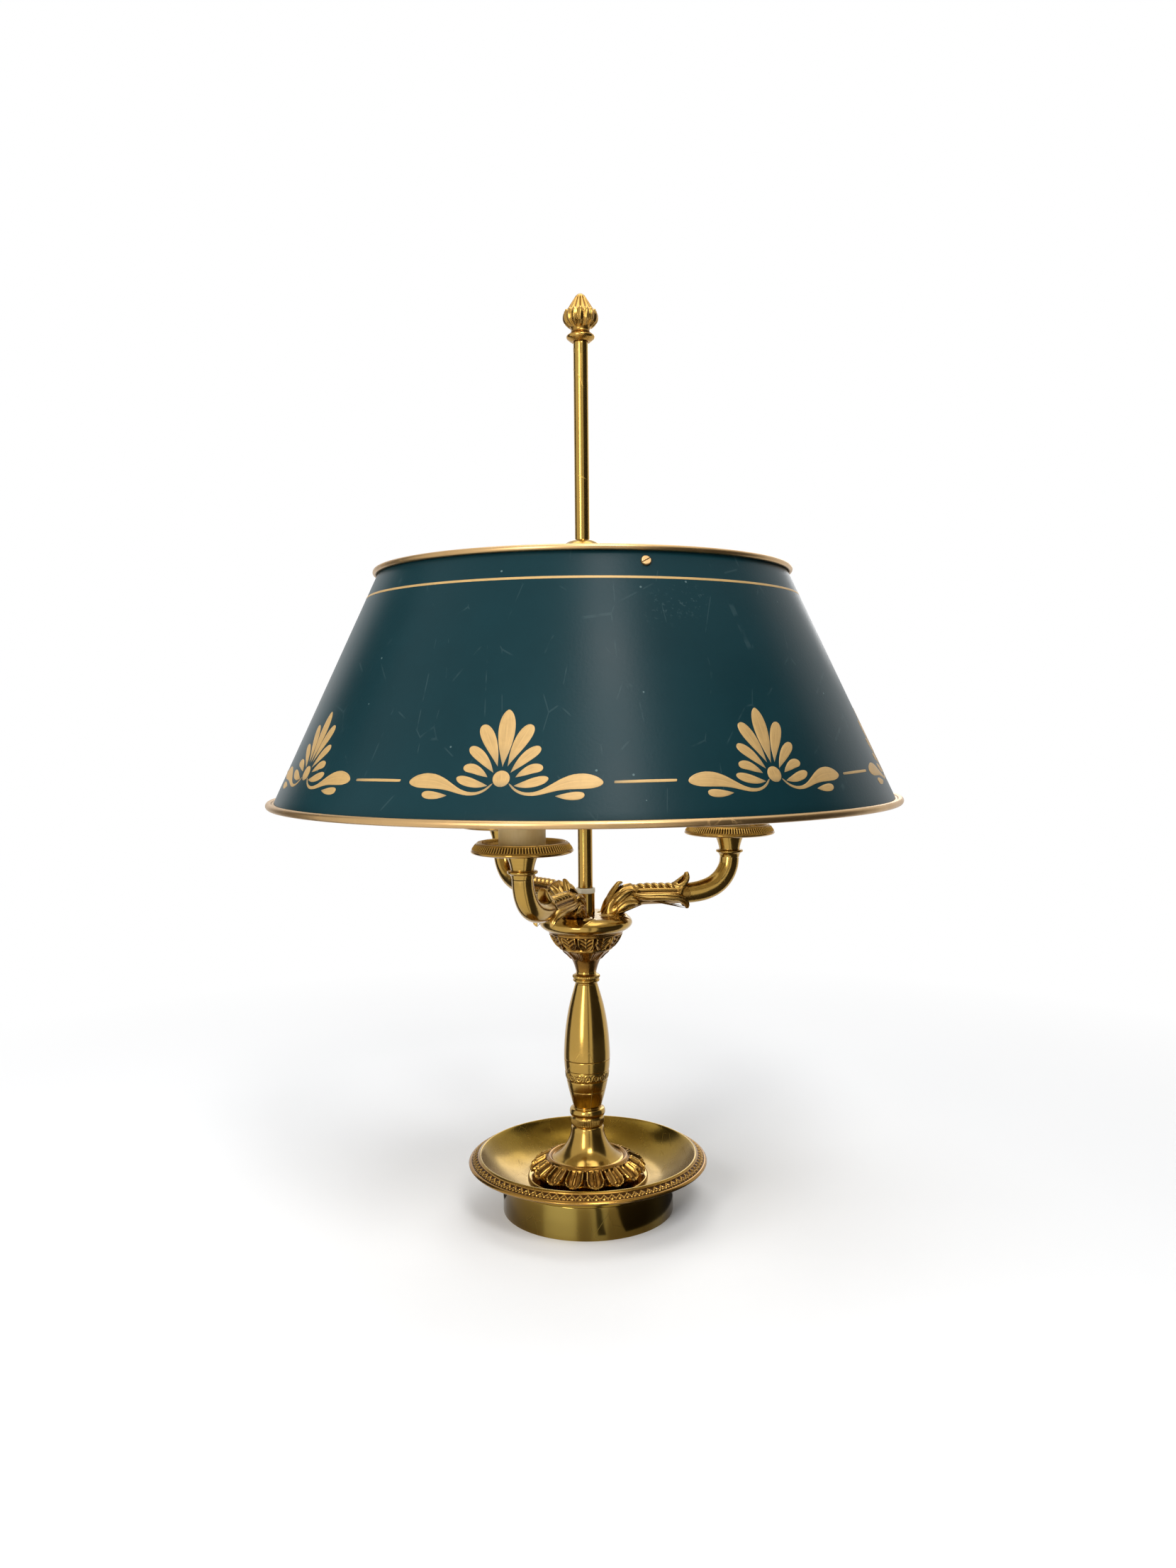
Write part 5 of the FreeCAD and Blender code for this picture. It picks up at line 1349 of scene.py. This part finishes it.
class LAMP_OT_fittings(bpy.types.Operator):
    """Give the inner and under pieces, which keep their own shape, their finishes."""
    bl_idname = "lamp.fittings"
    bl_label = "Inner fittings"

    def execute(self, context):
        dress(polished_brass(), "foot_disc", "slide_collar", "dome_nut", "clamp_key")
        dress(satin_gold(), "spider", "shade_screws")
        dress(bright_steel(), "base_washer", "base_nut", "tie_pipe", "arm_nuts", "arm_nipples",
              "shade_nuts", "socket_contacts")
        dress(cast_iron(), "base_weight")
        dress(green_felt(), "base_felt")
        dress(black_rubber(), "cable_bush")
        dress(wire_sleeving(), "arm_wires")
        dress(holder_plastic(), "lamp_holder_1", "lamp_holder_2", "lamp_holder_3")
        return {"FINISHED"}


# Studio

EYE = (0.0021, -0.7506, 0.3059)
EYE_PITCH = 3.175
EYE_ROLL = 0.5
EYE_FOCAL_PX, PHOTO_HEIGHT_PX = 1727.24, 2212


# How far from the lamp the floor starts to fade, and where it is all white, in metres.
SHADOW_R, WHITE_R = 0.14, 0.75


def looked_at(tree):
    """1 where the camera looks, straight or by way of a reflection or of glass."""
    ray = node(tree, "ShaderNodeLightPath")
    seen = maths(tree, "MAXIMUM", ray.outputs["Is Camera Ray"], ray.outputs["Is Glossy Ray"])
    return maths(tree, "MAXIMUM", seen, ray.outputs["Is Transmission Ray"])


def studio_mesh(name, points, faces, material):
    """Object of one mesh that belongs to the studio."""
    mesh = bpy.data.meshes.new(name)
    mesh.from_pydata(points.tolist(), [], faces.tolist())
    mesh.materials.append(material)
    made = bpy.data.objects.new(name, mesh)
    bpy.context.scene.collection.objects.link(made)
    return made


def floor_finish():
    """Pale floor that takes the object's shadow near it and turns into the plain white
    background further out, for what the camera, metal and glass see."""
    made = bpy.data.materials.new("studio floor")
    made.use_nodes = True
    tree = made.node_tree
    shader = tree.nodes["Principled BSDF"]
    soft = clouds(tree, 3.0, 2.0)
    tree.links.new(blended(tree, soft, (0.90, 0.90, 0.90, 1), (0.93, 0.93, 0.93, 1)),
                   shader.inputs["Base Color"])
    shader.inputs["Roughness"].default_value = 0.9
    shader.inputs["Specular IOR Level"].default_value = 0.0
    place = node(tree, "ShaderNodeTexCoord").outputs["Object"]
    far = node(tree, "ShaderNodeVectorMath", {0: place}, operation="LENGTH").outputs["Value"]
    fade = maths(tree, "MULTIPLY", ramped(tree, far, SHADOW_R, WHITE_R), looked_at(tree), clamp=True)
    white = node(tree, "ShaderNodeEmission", {"Color": (1, 1, 1, 1), "Strength": 1.0})
    mix = node(tree, "ShaderNodeMixShader", {0: fade, 1: shader.outputs[0], 2: white.outputs[0]})
    tree.links.new(mix.outputs[0], tree.nodes["Material Output"].inputs["Surface"])
    return made


def studio_world():
    """Soft grey light all round; what the camera, metal and glass see of it is plain white."""
    world = bpy.data.worlds.new("studio")
    bpy.context.scene.world = world
    world.use_nodes = True
    tree = world.node_tree
    tree.nodes.clear()
    light = node(tree, "ShaderNodeBackground", {"Color": (0.95, 0.97, 1.0, 1), "Strength": 0.34})
    white = node(tree, "ShaderNodeBackground", {"Color": (1, 1, 1, 1), "Strength": 1.0})
    mix = node(tree, "ShaderNodeMixShader",
               {0: looked_at(tree), 1: light.outputs[0], 2: white.outputs[0]})
    out = node(tree, "ShaderNodeOutputWorld")
    tree.links.new(mix.outputs[0], out.inputs["Surface"])


# Directions between which each card stands, in degrees, and its sizes in metres.
CARDS = ((-62.0, 14.0), (142.0, 172.0), (-83.0, -77.0))
CARD_DISTANCE, CARD_TOP, CARD_INNER, CARD_FOOT = 1.15, 1.25, 0.06, 0.0004


def dark_cards():
    """Dark cards round the lamp, as a photographer sets them round brass, which only polished
    metal sees: between two directions, along the floor and then up at one distance."""
    profile = np.array([(CARD_INNER, CARD_FOOT), (CARD_DISTANCE, CARD_FOOT), (CARD_DISTANCE, CARD_TOP)])
    points, faces = [], []
    for k, (first, last) in enumerate(CARDS):
        a = np.radians(np.linspace(first, last, 13))[:, None]
        r, z = profile[:, 0][None], profile[:, 1][None]
        points.append(np.stack([r * np.cos(a), r * np.sin(a), z + 0 * a], -1).reshape(-1, 3))
        low = (np.arange(12)[:, None] * 3 + np.arange(2)[None]).ravel() + k * 39
        faces.append(np.stack([low, low + 3, low + 4, low + 1], 1))
    black = moulded("card black", (0.035, 0.03, 0.025), (0.05, 0.045, 0.04), 0.9)
    made = studio_mesh("cards", np.vstack(points), np.vstack(faces), black)
    made.visible_camera = made.visible_diffuse = made.visible_shadow = False


def lamp(name, place, aim, size, power, colour=(1.0, 1.0, 1.0)):
    """Rectangular soft light that faces a point."""
    data = bpy.data.lights.new(name, "AREA")
    data.shape = "RECTANGLE"
    data.size, data.size_y = size
    data.energy = power
    data.color = colour
    made = bpy.data.objects.new(name, data)
    bpy.context.scene.collection.objects.link(made)
    made.location = place
    made.rotation_euler = (Vector(aim) - Vector(place)).to_track_quat("-Z", "Y").to_euler()
    return made


class LAMP_OT_studio(bpy.types.Operator):
    """Lay the floor, set the lights and place the camera."""
    bl_idname = "lamp.studio"
    bl_label = "Studio"

    def execute(self, context):
        scene = context.scene
        scene.view_settings.view_transform = "Standard"
        x, y = np.meshgrid(np.linspace(-6, 6, 25), np.linspace(-6, 6, 25), indexing="ij")
        sheet = shell(np.stack([x, y, 0 * x], -1) / MM, (False, False))
        floor = studio_mesh("floor", sheet["points"] * MM, sheet["faces"], floor_finish())
        studio_world()
        dark_cards()
        lamp("key", (-0.62, -1.25, 0.40), (0, 0, 0.28), (0.30, 1.3), 11.5, (1.0, 0.98, 0.95))
        lamp("window", (0.22, -0.95, 1.25), (0, 0, 0.33), (0.35, 0.6), 9.0)
        left = lamp("left", (-1.3, -0.3, 0.9), (0, 0, 0.25), (0.8, 1.0), 7.0, (0.95, 0.97, 1.0))
        left.visible_glossy = False
        lamp("back", (0.3, 1.4, 0.9), (0, 0, 0.3), (1.0, 0.8), 5.5)
        lamp("top", (0.0, 0.1, 1.5), (0, 0, 0.2), (0.9, 0.9), 6.0)
        data = bpy.data.cameras.new("camera")
        data.lens = EYE_FOCAL_PX / PHOTO_HEIGHT_PX * data.sensor_width
        data.clip_start = 0.01
        camera = bpy.data.objects.new("camera", data)
        scene.collection.objects.link(camera)
        camera.location = EYE
        aim = Euler((math.radians(90 - EYE_PITCH), 0, 0)).to_matrix()
        roll = Euler((0, 0, math.radians(-EYE_ROLL))).to_matrix()
        camera.rotation_euler = (aim @ roll).to_euler()
        scene.camera = camera
        return {"FINISHED"}


# Add-on

STEPS = (LAMP_OT_studio, LAMP_OT_base, LAMP_OT_foot, LAMP_OT_column, LAMP_OT_rod, LAMP_OT_arms,
         LAMP_OT_candles, LAMP_OT_shade, LAMP_OT_ornament, LAMP_OT_rims, LAMP_OT_fittings)


class LAMP_PT_panel(bpy.types.Panel):
    """The lamp's settings and the steps that make its pieces."""
    bl_idname = "LAMP_PT_panel"
    bl_label = "Bouillotte lamp"
    bl_space_type = "VIEW_3D"
    bl_region_type = "UI"
    bl_category = "Lamp"

    def draw(self, context):
        for key in LampSettings.__annotations__:
            self.layout.prop(context.scene.lamp, key)
        for step in STEPS:
            self.layout.operator(step.bl_idname)


CLASSES = (LampSettings, *STEPS, LAMP_PT_panel)


def register():
    for item in CLASSES:
        bpy.utils.register_class(item)
    bpy.types.Scene.lamp = bpy.props.PointerProperty(type=LampSettings)


def unregister():
    del bpy.types.Scene.lamp
    for item in reversed(CLASSES):
        bpy.utils.unregister_class(item)


def main():
    """Makes every piece in order."""
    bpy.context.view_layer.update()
    register()
    for step in STEPS:
        group_name, step_name = step.bl_idname.split(".")
        getattr(getattr(bpy.ops, group_name), step_name)()


if __name__ == "__main__":
    main()
